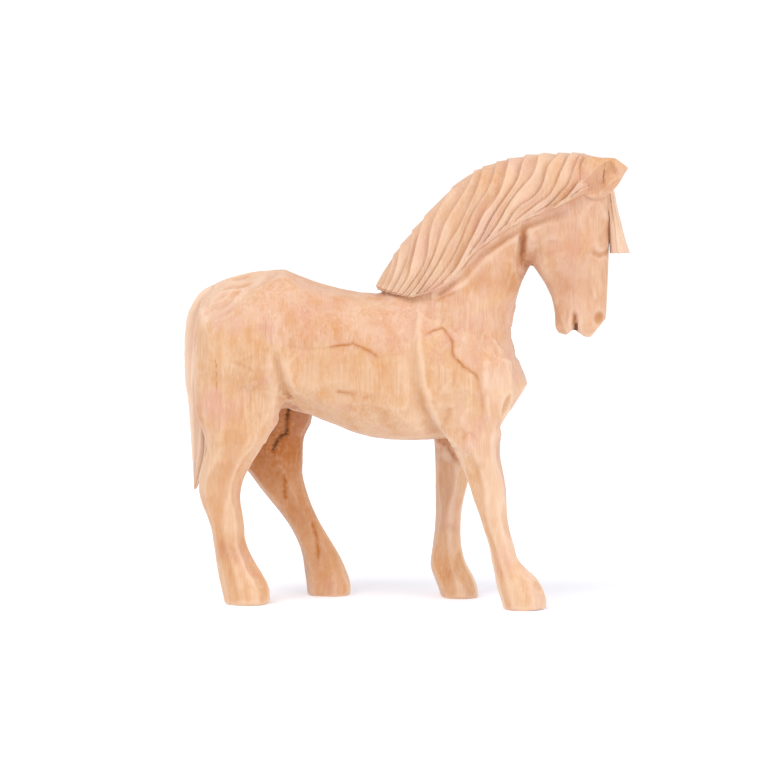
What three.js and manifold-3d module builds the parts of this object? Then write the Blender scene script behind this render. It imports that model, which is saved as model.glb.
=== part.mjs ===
// A carved wooden horse standing with its head down, as separate closed blanks that meet at glue joints.
// Millimetres. +X points to the head, +Y to the horse's left, +Z up. The origin is on the ground, under
// the middle of the overall box. Trunk, neck, head and legs are lofts that run into each other. They are
// joined, and then parted again at flat joints, so that both sides of a joint always have one outline.
// Mane, forelock, ears and tail lie on that surface and are cut to it.
import * as THREE from "three";
import { mergeVertices } from "three/addons/utils/BufferGeometryUtils.js";
import Module from "manifold-3d";

const wasm = await Module();
wasm.setup();

// ---- Driving dimensions ----
const JOINT_GAP = 0.3; // glue line between two pieces

const LEG_LENGTH = 54; // ground to the flat joint under the body
const HOOF_LENGTH = 15.2;
const HOOF_WIDTH = 12.6;
const CANNON_DEPTH = 9.2; // shin, seen from the side
const CANNON_WIDTH = 8.6; // shin, seen from the front
const KNEE_DEPTH = 11.6;
const HOCK_DEPTH = 14.8;
const THIGH_WIDTH = 17; // one thigh at its thickest, left to right

const TRUNK_LENGTH = 110.3; // buttocks to point of breast
const TRUNK_WIDTH = 43; // at the hips
const LEG_TRACK = TRUNK_WIDTH * 0.525; // between the middles of the left and right legs, at their tops
const HOOF_TRACK = LEG_TRACK + 0.8; // the same at the ground
const BACK_RISE = 49.5; // joint to the hollow of the back
const BELLY_RISE = 0.4; // joint to the lowest point of the belly

const NECK_DEPTH = 43.2; // throat line to crest at mid-neck, without the mane
const NECK_WIDTH = 24.5; // left to right at mid-neck
const NECK_REACH = 39.2; // neck base to poll, measured along X
const NECK_RISE = 53.8; // neck base to poll, measured along Z

const HEAD_LENGTH = 57.5; // poll to lips
const HEAD_DEPTH = 27.2; // forehead to cheek
const HEAD_WIDTH = 22;
const MUZZLE_DEPTH = 18;
const MUZZLE_WIDTH = 15.6;
const MOUTH_HEIGHT = 7.6; // length of the saw cut that parts the lips
const MOUTH_WIDTH = 0.9;

const MANE_THICKNESS = 2.1; // relief of the mane above the neck
const MANE_FALL = 19; // crest to the hair's lower edge at mid-neck
const EAR_LENGTH = 14;
const EAR_HEIGHT = 14.6; // at the base, seen from the side
const EAR_THICKNESS = 5.4;
const FORELOCK_LENGTH = 24;
const FORELOCK_WIDTH = 11;
const FORELOCK_DEPTH = 8; // at its cut end, seen from the side
const TAIL_LENGTH = 67.5;
const TAIL_WIDTH = 10.5;
const TAIL_DEPTH = 7.2;

// ---- Landmarks, in the side plane, before the whole is centred ----
const BUTTOCK_X = 0;
const BREAST_X = BUTTOCK_X + TRUNK_LENGTH;
const BACK_Z = LEG_LENGTH + BACK_RISE;
const NECK_BASE = { x: BREAST_X - 25.5, z: BACK_Z - 10.9 };
const POLL = { x: NECK_BASE.x + NECK_REACH, z: NECK_BASE.z + NECK_RISE };
const THROAT_X = POLL.x - HEAD_DEPTH / 2; // flat joint between neck and head
const HIP_X = BUTTOCK_X + 17.6;
const SHOULDER_X = BREAST_X - 18.3;

// ---- Geometry helpers ----
const degrees = THREE.MathUtils.degToRad;

// A closed surface through a row of superellipse sections. A section stands in the side plane's direction
// `turn` (0 is +X, -90 is down) and across it along Y. `egg` widens the side that `turn` points to.
function loft(stations, { sides = 20, steps = 3, grow = 0 } = {}) {
  const curve = (pick) =>
    new THREE.CatmullRomCurve3(
      stations.map((s) => new THREE.Vector3(...pick(s))),
      false,
      "catmullrom",
    );
  const centres = curve((s) => s.at);
  const sizes = curve((s) => [s.depth / 2, s.width / 2, s.square ?? 2.3]);
  const forms = curve((s) => [s.turn ?? 0, s.egg ?? 0, 0]);
  const rings = (stations.length - 1) * steps + 1;
  const points = [];
  const ends = [];
  for (let i = 0; i < rings; i++) {
    const t = i / (rings - 1);
    const centre = centres.getPoint(t);
    const size = sizes.getPoint(t);
    const form = forms.getPoint(t);
    const turn = degrees(form.x);
    const along = new THREE.Vector3(Math.cos(turn), 0, Math.sin(turn));
    const onward = new THREE.Vector3(-Math.sin(turn), 0, Math.cos(turn));
    if (i === 0) centre.addScaledVector(onward, -grow);
    if (i === rings - 1) centre.addScaledVector(onward, grow);
    if (i === 0 || i === rings - 1) ends.push(centre.clone());
    for (let j = 0; j < sides; j++) {
      const angle = (2 * Math.PI * j) / sides;
      const power = 2 / size.z;
      const c = Math.sign(Math.cos(angle)) * Math.abs(Math.cos(angle)) ** power;
      const s = Math.sign(Math.sin(angle)) * Math.abs(Math.sin(angle)) ** power;
      const point = centre.clone().addScaledVector(along, c * (size.x + grow));
      point.y += s * (size.y + grow) * (1 + form.y * c);
      points.push(point);
    }
  }
  const first = points.push(ends[0]) - 1;
  const last = points.push(ends[1]) - 1;
  const faces = [];
  for (let j = 0; j < sides; j++) {
    const k = (j + 1) % sides;
    faces.push(first, k, j);
    for (let i = 0; i < rings - 1; i++) {
      const low = i * sides;
      const high = low + sides;
      faces.push(low + j, low + k, high + k, low + j, high + k, high + j);
    }
    const top = (rings - 1) * sides;
    faces.push(last, top + j, top + k);
  }
  const geometry = new THREE.BufferGeometry().setFromPoints(points);
  geometry.setIndex(faces);
  return solid(geometry);
}

// A closed three.js geometry as a manifold-3d solid, for joining and cutting.
function solid(geometry) {
  geometry.deleteAttribute("normal");
  geometry.deleteAttribute("uv");
  const merged = mergeVertices(geometry, 1e-4);
  return new wasm.Manifold(
    new wasm.Mesh({
      numProp: 3,
      vertProperties: new Float32Array(merged.attributes.position.array),
      triVerts: new Uint32Array(merged.index.array),
    }),
  );
}

// A flat outline in the side plane, given as [x, z] points, as a solid `width` wide and centred on Y.
function slab(outline, width) {
  const shape = new THREE.Shape(outline.map(([x, z]) => new THREE.Vector2(x, z)));
  const geometry = new THREE.ExtrudeGeometry(shape, { depth: width, bevelEnabled: false });
  geometry.rotateX(Math.PI / 2);
  geometry.translate(0, width / 2, 0);
  return solid(geometry);
}

const join = (solids) => solids.reduce((all, next) => all.add(next));

// ---- Trunk, neck and head ----
// Each row: share of the length, height of the back, height of the belly (both above the leg joint), width.
function trunk(grow) {
  const rows = [
    [0, BACK_RISE - 11, BELLY_RISE + 13.6, TRUNK_WIDTH * 0.42],
    [0.016, BACK_RISE - 2.8, BELLY_RISE + 10.1, TRUNK_WIDTH * 0.66],
    [0.05, BACK_RISE + 2.2, BELLY_RISE + 8.1, TRUNK_WIDTH * 0.83],
    [0.12, BACK_RISE + 5.2, BELLY_RISE + 7.3, TRUNK_WIDTH * 0.94],
    [0.2, BACK_RISE + 6.9, BELLY_RISE + 7.6, TRUNK_WIDTH],
    [0.275, BACK_RISE + 7.2, BELLY_RISE + 9, TRUNK_WIDTH],
    [0.35, BACK_RISE + 3.8, BELLY_RISE + 7.6, TRUNK_WIDTH * 0.97],
    [0.44, BACK_RISE + 0.9, BELLY_RISE + 4, TRUNK_WIDTH * 0.955],
    [0.54, BACK_RISE - 0.4, BELLY_RISE + 0.9, TRUNK_WIDTH * 0.96],
    [0.65, BACK_RISE + 0.2, BELLY_RISE, TRUNK_WIDTH * 0.95],
    [0.76, BACK_RISE - 1.5, BELLY_RISE + 0.8, TRUNK_WIDTH * 0.92],
    [0.85, BACK_RISE - 5.5, BELLY_RISE + 3, TRUNK_WIDTH * 0.87],
    [0.925, BACK_RISE - 13, BELLY_RISE + 7.2, TRUNK_WIDTH * 0.77],
    [0.972, BACK_RISE - 22.4, BELLY_RISE + 11.8, TRUNK_WIDTH * 0.58],
    [1, BACK_RISE - 28, BELLY_RISE + 15.5, TRUNK_WIDTH * 0.3],
  ];
  const stations = rows.map(([share, back, belly, width]) => ({
    at: [BUTTOCK_X + share * TRUNK_LENGTH, 0, LEG_LENGTH + (back + belly) / 2],
    depth: back - belly,
    width,
    turn: -90,
    egg: 0.1,
    square: 2.5,
  }));
  return loft(stations, { sides: 28, steps: 2, grow });
}

// Each row: share of the reach, share of the rise, depth, width, turn from the crest to the throat.
function neck(grow) {
  const rows = [
    [-0.12, -0.11, NECK_DEPTH + 10, NECK_WIDTH * 1.4, -29],
    [0.01, 0, NECK_DEPTH + 7.4, NECK_WIDTH * 1.26, -30],
    [0.08, 0.23, NECK_DEPTH + 0.6, NECK_WIDTH * 1.1, -36],
    [0.25, 0.435, NECK_DEPTH - 3.4, NECK_WIDTH, -49],
    [0.47, 0.61, NECK_DEPTH - 8.4, NECK_WIDTH * 0.94, -65],
    [0.74, 0.712, NECK_DEPTH - 12.8, NECK_WIDTH * 0.9, -81],
    [1.01, 0.735, NECK_DEPTH - 15, NECK_WIDTH * 0.86, -90],
  ];
  const stations = rows.map(([reach, rise, depth, width, turn]) => ({
    at: [NECK_BASE.x + reach * NECK_REACH, 0, NECK_BASE.z + rise * NECK_RISE],
    depth,
    width,
    turn,
    egg: 0.22,
    square: 2.2,
  }));
  return loft(stations, { sides: 24, steps: 3, grow });
}

// Each row: share of the length above the lips, lean of the middle along X, depth, width.
function head(grow) {
  const cheekLean = 13.6 - HEAD_DEPTH / 2;
  const rows = [
    [0, 3.2, MUZZLE_DEPTH - 6.2, MUZZLE_WIDTH - 4.2],
    [0.055, 3.6, MUZZLE_DEPTH - 1.6, MUZZLE_WIDTH - 1],
    [0.14, 4.2, MUZZLE_DEPTH, MUZZLE_WIDTH],
    [0.24, 3.8, MUZZLE_DEPTH + 1.6, MUZZLE_WIDTH + 1],
    [0.34, 2.2, MUZZLE_DEPTH + 4.8, MUZZLE_WIDTH + 2.8],
    [0.43, 0.4 + cheekLean, HEAD_DEPTH - 1.2, HEAD_WIDTH - 1.4],
    [0.55, 0.1 + cheekLean, HEAD_DEPTH, HEAD_WIDTH],
    [0.69, 0.2 + cheekLean, HEAD_DEPTH + 0.4, HEAD_WIDTH],
    [0.85, cheekLean, HEAD_DEPTH - 0.6, HEAD_WIDTH - 1.4],
    [0.95, -0.8, HEAD_DEPTH - 4, HEAD_WIDTH - 5],
    [0.99, -1.2, HEAD_DEPTH - 12, HEAD_WIDTH - 11],
  ];
  const stations = rows.map(([share, lean, depth, width]) => ({
    at: [POLL.x + lean, 0, POLL.z - (1 - share) * HEAD_LENGTH],
    depth,
    width,
    egg: -0.08,
    square: 2.5,
  }));
  return loft(stations, { sides: 24, steps: 2, grow });
}

// ---- Legs ----
// Each row: share of the leg length, how far its middle is ahead of the hip or shoulder, depth, width. Rows
// above 1 run up into the trunk.
const LEGS = {
  right_hind_leg: {
    side: -1,
    root: HIP_X,
    rows: [
      [0, 1.4, HOOF_LENGTH - 1.2, HOOF_WIDTH],
      [0.065, 1.3, HOOF_LENGTH + 0.3, HOOF_WIDTH],
      [0.175, -0.5, HOOF_LENGTH - 0.2, HOOF_WIDTH - 1.2],
      [0.285, -2.7, CANNON_DEPTH + 3.2, CANNON_WIDTH + 0.8],
      [0.39, -4.6, CANNON_DEPTH + 1.3, CANNON_WIDTH],
      [0.475, -5.3, CANNON_DEPTH + 1.6, CANNON_WIDTH + 0.4],
      [0.61, -7.4, HOCK_DEPTH - 2.2, CANNON_WIDTH + 2],
      [0.705, -8, HOCK_DEPTH - 0.4, CANNON_WIDTH + 3.2],
      [0.8, -7, HOCK_DEPTH + 0.4, THIGH_WIDTH - 4.4],
      [0.9, -4.9, HOCK_DEPTH + 1.4, THIGH_WIDTH - 3],
      [1, -2.9, HOCK_DEPTH + 4.4, THIGH_WIDTH - 1.8],
      [1.16, -2.6, HOCK_DEPTH + 12, THIGH_WIDTH],
      [1.32, -1.4, HOCK_DEPTH + 16, THIGH_WIDTH],
      [1.52, -0.4, HOCK_DEPTH + 15, THIGH_WIDTH - 2],
      [1.66, 0, HOCK_DEPTH + 6, THIGH_WIDTH - 8],
    ],
  },
  left_hind_leg: {
    side: 1,
    root: HIP_X,
    rows: [
      [0, 25.5, HOOF_LENGTH - 1, HOOF_WIDTH],
      [0.055, 25.4, HOOF_LENGTH - 0.2, HOOF_WIDTH],
      [0.125, 24.5, HOOF_LENGTH - 0.7, HOOF_WIDTH - 0.9],
      [0.235, 22.6, CANNON_DEPTH + 3.7, CANNON_WIDTH + 1],
      [0.345, 19.9, CANNON_DEPTH + 2, CANNON_WIDTH + 0.2],
      [0.455, 16.6, CANNON_DEPTH + 1.4, CANNON_WIDTH + 0.4],
      [0.555, 13.1, CANNON_DEPTH + 2.8, CANNON_WIDTH + 1.6],
      [0.665, 9.3, HOCK_DEPTH + 0.4, CANNON_WIDTH + 3],
      [0.765, 6.5, HOCK_DEPTH + 3.4, THIGH_WIDTH - 4.6],
      [0.875, 4.3, HOCK_DEPTH + 8.4, THIGH_WIDTH - 3],
      [1, 1.9, HOCK_DEPTH + 13.6, THIGH_WIDTH - 1.8],
      [1.16, 0.9, HOCK_DEPTH + 17.6, THIGH_WIDTH],
      [1.32, -0.1, HOCK_DEPTH + 18.6, THIGH_WIDTH],
      [1.52, 0, HOCK_DEPTH + 15, THIGH_WIDTH - 2],
      [1.66, 0, HOCK_DEPTH + 6, THIGH_WIDTH - 8],
    ],
  },
  right_foreleg: {
    side: -1,
    root: SHOULDER_X,
    rows: [
      [0, 19.1, HOOF_LENGTH - 2, HOOF_WIDTH],
      [0.05, 19, HOOF_LENGTH, HOOF_WIDTH],
      [0.14, 17, HOOF_LENGTH + 0.3, HOOF_WIDTH - 0.8],
      [0.205, 15.4, HOOF_LENGTH - 2, HOOF_WIDTH - 2.4],
      [0.28, 13.1, CANNON_DEPTH + 0.4, CANNON_WIDTH],
      [0.39, 11.5, CANNON_DEPTH - 1, CANNON_WIDTH - 0.4],
      [0.52, 9.4, CANNON_DEPTH + 0.6, CANNON_WIDTH + 0.2],
      [0.65, 7.2, KNEE_DEPTH + 0.4, CANNON_WIDTH + 1.6],
      [0.78, 5.7, KNEE_DEPTH + 1, CANNON_WIDTH + 2.8],
      [0.89, 4.2, KNEE_DEPTH + 1.4, CANNON_WIDTH + 3.8],
      [1, 2.5, KNEE_DEPTH + 4.2, CANNON_WIDTH + 5],
      [1.13, 1.4, KNEE_DEPTH + 10.8, CANNON_WIDTH + 6.2],
      [1.3, 0.9, KNEE_DEPTH + 17.4, CANNON_WIDTH + 6.6],
      [1.5, 0, KNEE_DEPTH + 17, CANNON_WIDTH + 5],
      [1.66, -1, KNEE_DEPTH + 8, CANNON_WIDTH - 2],
    ],
  },
  left_foreleg: {
    side: 1,
    root: SHOULDER_X,
    rows: [
      [0, -4.8, HOOF_LENGTH - 2.6, HOOF_WIDTH],
      [0.055, -5.2, HOOF_LENGTH - 1.8, HOOF_WIDTH],
      [0.135, -6.9, HOOF_LENGTH - 1.8, HOOF_WIDTH - 1],
      [0.205, -8.5, HOOF_LENGTH - 3.2, HOOF_WIDTH - 2.4],
      [0.32, -9, CANNON_DEPTH + 0.2, CANNON_WIDTH],
      [0.44, -8.8, CANNON_DEPTH - 0.6, CANNON_WIDTH - 0.4],
      [0.57, -8.2, CANNON_DEPTH + 0.2, CANNON_WIDTH + 0.4],
      [0.69, -7.4, KNEE_DEPTH - 0.8, CANNON_WIDTH + 1.6],
      [0.83, -6.7, KNEE_DEPTH + 0.6, CANNON_WIDTH + 3],
      [1, -5.9, KNEE_DEPTH + 3.4, CANNON_WIDTH + 5],
      [1.13, -3.9, KNEE_DEPTH + 10, CANNON_WIDTH + 6.2],
      [1.3, -1, KNEE_DEPTH + 17, CANNON_WIDTH + 6.6],
      [1.5, 0, KNEE_DEPTH + 17, CANNON_WIDTH + 5],
      [1.66, -1, KNEE_DEPTH + 8, CANNON_WIDTH - 2],
    ],
  },
};

function leg({ side, root, rows }, grow) {
  const stations = rows.map(([share, x, depth, width]) => {
    const track = THREE.MathUtils.lerp(HOOF_TRACK, LEG_TRACK, Math.min(share, 1));
    return {
      at: [root + x, (side * track) / 2, share * LEG_LENGTH],
      depth,
      width,
      square: 2.5,
    };
  });
  return loft(stations, { sides: 16, steps: 2, grow });
}

// ---- Pieces that lie on the body ----
// The hair's lower edge from the poll to the withers, in the side plane. Each row: share of the neck's reach
// ahead of the poll, drop below the poll.
function maneEdge() {
  const rows = [
    [0.179, MANE_FALL - 10.5],
    [-0.089, MANE_FALL - 3.1],
    [-0.362, MANE_FALL + 0.017 * NECK_RISE],
    [-0.548, MANE_FALL + 0.097 * NECK_RISE],
    [-0.763, MANE_FALL + 0.208 * NECK_RISE],
    [-0.916, MANE_FALL + 0.338 * NECK_RISE],
    [-1.077, MANE_FALL + 0.437 * NECK_RISE],
  ];
  return [
    [POLL.x + 8.5, POLL.z + 6],
    ...rows.map(([reach, drop]) => [POLL.x + reach * NECK_REACH, POLL.z - drop]),
    [NECK_BASE.x - 10.7, BACK_Z - 1.8],
    [NECK_BASE.x - 27.8, BACK_Z],
  ];
}

function maneRegion() {
  const top = POLL.z + 30;
  const edge = maneEdge();
  return slab([...edge, [edge[edge.length - 1][0], top], [edge[0][0], top]], 4 * NECK_WIDTH);
}

// The ear's middle runs forward and out from the poll. `reach` moves its tip along X.
function ear(side, reach, grow) {
  const base = { x: POLL.x + HEAD_DEPTH * 0.2, y: side * HEAD_WIDTH * 0.336, z: POLL.z - 6.6 };
  const rows = [
    [-0.12, EAR_HEIGHT * 0.8, EAR_THICKNESS * 0.8, 0],
    [0.16, EAR_HEIGHT, EAR_THICKNESS, 0.6],
    [0.5, EAR_HEIGHT * 0.78, EAR_THICKNESS * 0.86, 2],
    [0.8, EAR_HEIGHT * 0.46, EAR_THICKNESS * 0.6, 3],
    [1, EAR_HEIGHT * 0.16, EAR_THICKNESS * 0.3, 3.8],
  ];
  const stations = rows.map(([share, height, thickness, rise]) => ({
    at: [base.x + share * (EAR_LENGTH + reach), base.y + side * share * 3, base.z + rise],
    depth: height,
    width: thickness,
    turn: -84,
    square: 2,
  }));
  return loft(stations, { sides: 14, steps: 2, grow });
}

function forelock(grow) {
  const rows = [
    [0, 7.8, FORELOCK_DEPTH * 0.8, FORELOCK_WIDTH],
    [0.3, 6.5, FORELOCK_DEPTH * 0.75, FORELOCK_WIDTH],
    [0.62, 4.8, FORELOCK_DEPTH * 0.62, FORELOCK_WIDTH * 0.85],
    [0.95, 2.7, FORELOCK_DEPTH * 0.4, FORELOCK_WIDTH * 0.7],
  ];
  const stations = rows.map(([share, ahead, depth, width]) => ({
    at: [POLL.x + HEAD_DEPTH / 2 + ahead - 4.3, 0, POLL.z - 6 - (1 - share) * FORELOCK_LENGTH],
    depth,
    width,
    square: 2.6,
  }));
  return loft(stations, { sides: 14, steps: 3, grow });
}

function tail(grow) {
  const rows = [
    [0, -0.9, TAIL_DEPTH * 0.3, TAIL_WIDTH * 0.3],
    [0.1, -0.5, TAIL_DEPTH * 0.5, TAIL_WIDTH * 0.6],
    [0.3, -0.4, TAIL_DEPTH * 0.86, TAIL_WIDTH * 0.92],
    [0.55, -0.7, TAIL_DEPTH, TAIL_WIDTH],
    [0.75, -0.9, TAIL_DEPTH * 0.92, TAIL_WIDTH * 0.86],
    [0.9, 0.4, TAIL_DEPTH * 0.8, TAIL_WIDTH * 0.66],
    [1, 2.9, TAIL_DEPTH * 0.56, TAIL_WIDTH * 0.4],
  ];
  const stations = rows.map(([share, x, depth, width]) => ({
    at: [BUTTOCK_X + x, 0, BACK_Z + 0.6 - (1 - share) * TAIL_LENGTH],
    depth,
    width,
    square: 2.2,
  }));
  return loft(stations, { sides: 14, steps: 2, grow });
}

// ---- Cutting the pieces ----
const legShapes = Object.entries(LEGS);
const legs = (grow) => legShapes.map(([, shape]) => leg(shape, grow));
const body = (grow) => join([trunk(grow), neck(grow), head(grow), ...legs(grow)]);

// The flat joints, each as a plane: its normal and its distance from the origin.
const UP = [0, 0, 1];
const FORWARD = [1, 0, 0];
const neckTurn = degrees(-28);
const NECKWARD = [-Math.sin(neckTurn), 0, Math.cos(neckTurn)];
const neckJoint = NECK_BASE.x * NECKWARD[0] + NECK_BASE.z * NECKWARD[2];
const back = ([x, y, z]) => [-x, -y, -z];
const beyond = (piece, normal, at) => piece.trimByPlane(normal, at + JOINT_GAP / 2);
const before = (piece, normal, at) => piece.trimByPlane(back(normal), -at + JOINT_GAP / 2);

function mouthCut() {
  const lips = POLL.z - HEAD_LENGTH;
  const x = POLL.x + 3;
  const outline = [
    [x - MOUTH_WIDTH, lips - 2],
    [x + MOUTH_WIDTH, lips - 2],
    [x + MOUTH_WIDTH * 0.3, lips + MOUTH_HEIGHT],
    [x - MOUTH_WIDTH * 0.3, lips + MOUTH_HEIGHT],
  ];
  return slab(outline, 2 * HEAD_WIDTH);
}

const whole = body(0);
const ahead = beyond(whole, UP, LEG_LENGTH);
const neckAndHead = beyond(ahead, NECKWARD, neckJoint);
const skin = body(JOINT_GAP);
const hair = neck(MANE_THICKNESS).add(head(MANE_THICKNESS)).intersect(maneRegion());
const ears = { right_ear: [-1, 0], left_ear: [1, -2.2] };
const earShapes = Object.entries(ears).map(([name, [side, reach]]) => [name, ear(side, reach, 0)]);
const earRoom = join(Object.values(ears).map(([side, reach]) => ear(side, reach, JOINT_GAP)));

const pieces = {
  trunk: before(ahead, NECKWARD, neckJoint),
  neck: before(neckAndHead, FORWARD, THROAT_X),
  head: beyond(neckAndHead, FORWARD, THROAT_X).subtract(mouthCut()),
  mane: hair.subtract(skin).subtract(earRoom),
  forelock: forelock(0).subtract(skin).subtract(earRoom),
  tail: tail(0).subtract(skin),
};
for (const [name, shape] of earShapes) pieces[name] = shape.subtract(skin);
for (const [name, shape] of legShapes) pieces[name] = before(leg(shape, 0), UP, LEG_LENGTH);

// A cut can leave crumbs behind. Only the piece itself is kept.
const largest = (piece) =>
  piece.decompose().reduce((most, next) => (next.volume() > most.volume() ? next : most));

const wood = () => new THREE.MeshStandardMaterial({ color: "#ecc19c", roughness: 0.62, metalness: 0 });

const horse = new THREE.Group();
for (const [name, piece] of Object.entries(pieces)) {
  const { vertProperties, triVerts } = largest(piece).getMesh();
  const geometry = new THREE.BufferGeometry();
  geometry.setAttribute("position", new THREE.BufferAttribute(vertProperties, 3));
  geometry.setIndex(new THREE.BufferAttribute(triVerts, 1));
  geometry.computeVertexNormals();
  const mesh = new THREE.Mesh(geometry, wood());
  mesh.name = name;
  horse.add(mesh);
}

const box = new THREE.Box3().setFromObject(horse);
const middle = box.getCenter(new THREE.Vector3());
horse.position.set(-middle.x, -middle.y, -box.min.z);

export default horse;
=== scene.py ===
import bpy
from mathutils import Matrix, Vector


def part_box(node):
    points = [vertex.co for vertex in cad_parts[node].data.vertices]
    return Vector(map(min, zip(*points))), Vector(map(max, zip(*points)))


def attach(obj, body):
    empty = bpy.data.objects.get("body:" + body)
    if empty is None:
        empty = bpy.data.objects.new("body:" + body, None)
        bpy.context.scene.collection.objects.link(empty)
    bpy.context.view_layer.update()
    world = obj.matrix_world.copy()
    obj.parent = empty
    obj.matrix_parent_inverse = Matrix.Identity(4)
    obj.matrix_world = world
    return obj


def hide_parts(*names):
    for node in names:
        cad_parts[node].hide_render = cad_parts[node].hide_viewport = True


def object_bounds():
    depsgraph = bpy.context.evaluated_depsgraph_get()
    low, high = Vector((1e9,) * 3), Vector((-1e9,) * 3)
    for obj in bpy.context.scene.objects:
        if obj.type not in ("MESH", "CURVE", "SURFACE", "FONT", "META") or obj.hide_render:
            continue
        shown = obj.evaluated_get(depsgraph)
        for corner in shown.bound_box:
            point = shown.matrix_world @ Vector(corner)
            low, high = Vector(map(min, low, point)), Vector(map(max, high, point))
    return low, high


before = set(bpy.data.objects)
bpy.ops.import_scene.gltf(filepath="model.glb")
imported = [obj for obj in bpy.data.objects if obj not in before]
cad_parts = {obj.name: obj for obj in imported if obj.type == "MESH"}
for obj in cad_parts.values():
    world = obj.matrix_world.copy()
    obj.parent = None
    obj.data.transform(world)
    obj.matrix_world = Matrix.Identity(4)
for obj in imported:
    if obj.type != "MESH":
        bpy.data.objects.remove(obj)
CAD_BOX = [list(corner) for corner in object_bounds()]

# A standing horse, whittled from one block of pale alder. The block's skin is carved as a whole, so that the
# knife work runs on over the glue lines, and is then parted along them into the pieces of the assembly.
# Mane, tail and forelock are laid on and grooved into locks by one Geometry Nodes tree.
# Work is done in millimetres. x runs from tail to head, the horse's right side faces -y, z is up.

import math

import bmesh
import bpy
import numpy as np
from mathutils import Vector
from mathutils.bvhtree import BVHTree

MM = 0.001
RIGHT, LEFT = -1, 1

# ---- sizes and places, from the CAD

SKIN_NODES = ("trunk", "neck", "head", "left_foreleg", "right_foreleg", "left_hind_leg", "right_hind_leg")
LEG_NODES = SKIN_NODES[3:]
SKIN_GRAIN = 0.48        # side of the little squares that the skin is made of
SKIN_EVENING = 14        # turns of smoothing that take the steps off those squares
JOINT_OVERLAP = 0.5      # each joint face is pushed this far over the gap, so that the skin runs through
# inside the head the lips are one piece of wood, so the mouth is a slit on each side
LIP_BRIDGE = (4.0, 7.5, 9.0)
LIP_BRIDGE_SHARE = 0.587   # its place along the head
LIP_BRIDGE_HEIGHT = 5.7    # its middle over the head's lowest point


def box(node):
    """A CAD node's lowest and highest corner, in mm."""
    low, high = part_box(node)
    return np.array(low) / MM, np.array(high) / MM


def places(node, shares):
    """Side-view places (x, z) in mm, from shares of a node's length and height."""
    low, high = box(node)
    shares = np.array(shares, float)
    return low[[0, 2]] + shares * (high - low)[[0, 2]]


def ease(value, start, end):
    """0 before start, 1 after end, and a smooth rise between."""
    share = np.clip((value - start) / (end - start), 0, 1)
    return share * share * (3 - 2 * share)


def bell(value, width):
    """1 at nothing, falling away smoothly on both sides."""
    return np.exp(-((value / width) ** 2))


def profile(signed, *ridges):
    """The shape across a line: ridges (above 0) and grooves (below), each (height, place, width)."""
    return sum(height * bell(signed - place, width) for height, place, width in ridges)


def taper(share, full, falling):
    """0 at both ends of a line, and 1 from the share where it is full to the share where it starts falling."""
    return ease(share, 0, full) * (1 - ease(share, falling, 1))


def unit(direction):
    return direction / np.linalg.norm(direction)


def laid_on(direction, normal):
    """That direction, turned to lie flat on a surface."""
    return unit(direction - normal * (direction @ normal))


MIDDLE = (box("left_hind_leg")[1][0] + box("left_foreleg")[0][0]) / 2   # between fore and hind legs


def along_path(xz, path):
    """Of each side-view place: its distance to the path, above 0 on the left, and the share along it there."""
    path = np.array(path, float)
    steps = np.diff(path, axis=0)
    lengths = np.linalg.norm(steps, axis=1)
    starts = np.concatenate([[0], np.cumsum(lengths)[:-1]])
    best = np.full(len(xz), 1e9)
    signed = np.zeros(len(xz))
    share = np.zeros(len(xz))
    for start, step, length, before in zip(path[:-1], steps, lengths, starts):
        away = xz - start
        run = np.clip(away @ step / length ** 2, 0, 1)
        gap = away - run[:, None] * step
        distance = np.linalg.norm(gap, axis=1)
        side = np.sign(step[0] * away[:, 1] - step[1] * away[:, 0])
        closer = distance < best
        best = np.where(closer, distance, best)
        signed = np.where(closer, distance * side, signed)
        share = np.where(closer, (before + run * length) / lengths.sum(), share)
    return signed, share


def wander(path, spacing, amount, seed):
    """The path with more points, each moved a little sideways, as a vein in wood runs."""
    chance = np.random.default_rng(seed)
    path = np.array(path, float)
    places_along = [path[0]]
    for a, b in zip(path[:-1], path[1:]):
        count = max(1, int(np.linalg.norm(b - a) / spacing))
        for k in range(1, count + 1):
            spot = a + (b - a) * k / count
            places_along.append(spot + chance.normal(0, amount, 2) * (k < count))
    return np.array(places_along)


# ---- the skin: one closed surface

def welded(node):
    """A CAD node as points in mm and triangles, its doubles merged."""
    work = bmesh.new()
    work.from_mesh(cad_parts[node].data)
    bmesh.ops.remove_doubles(work, verts=work.verts, dist=1e-6)
    bmesh.ops.triangulate(work, faces=work.faces)
    work.verts.index_update()
    points = np.array([v.co for v in work.verts]) / MM
    faces = np.array([[v.index for v in f.verts] for f in work.faces])
    work.free()
    return points, faces


def flat_side(points, faces, toward):
    """The largest flat side that looks roughly that way: its direction, its offset, and its points."""
    corner = points[faces]
    across = np.cross(corner[:, 1] - corner[:, 0], corner[:, 2] - corner[:, 0])
    area = np.linalg.norm(across, axis=1) + 1e-12
    direction = across / area[:, None]
    offset = np.einsum("ij,ij->i", direction, corner[:, 0])
    looks = direction @ np.array(toward) > 0.75
    groups = {}
    for k in np.nonzero(looks)[0]:
        key = tuple(np.round(direction[k], 2)) + (round(float(offset[k]), 1),)
        groups.setdefault(key, []).append(k)
    widest = max(groups.values(), key=lambda members: area[members].sum())
    weights = area[widest] / area[widest].sum()
    normal = unit((direction[widest] * weights[:, None]).sum(0))
    level = float((offset[widest] * weights).sum())
    return normal, level, np.nonzero(np.abs(points @ normal - level) < 0.03)[0]


def new_mesh(name, points, faces):
    """A mesh object in metres, from points in mm."""
    data = bpy.data.meshes.new(name)
    data.from_pydata((np.asarray(points) * MM).tolist(), [], [list(map(int, f)) for f in faces])
    data.update()
    made = bpy.data.objects.new(name, data)
    bpy.context.scene.collection.objects.link(made)
    return made


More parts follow.
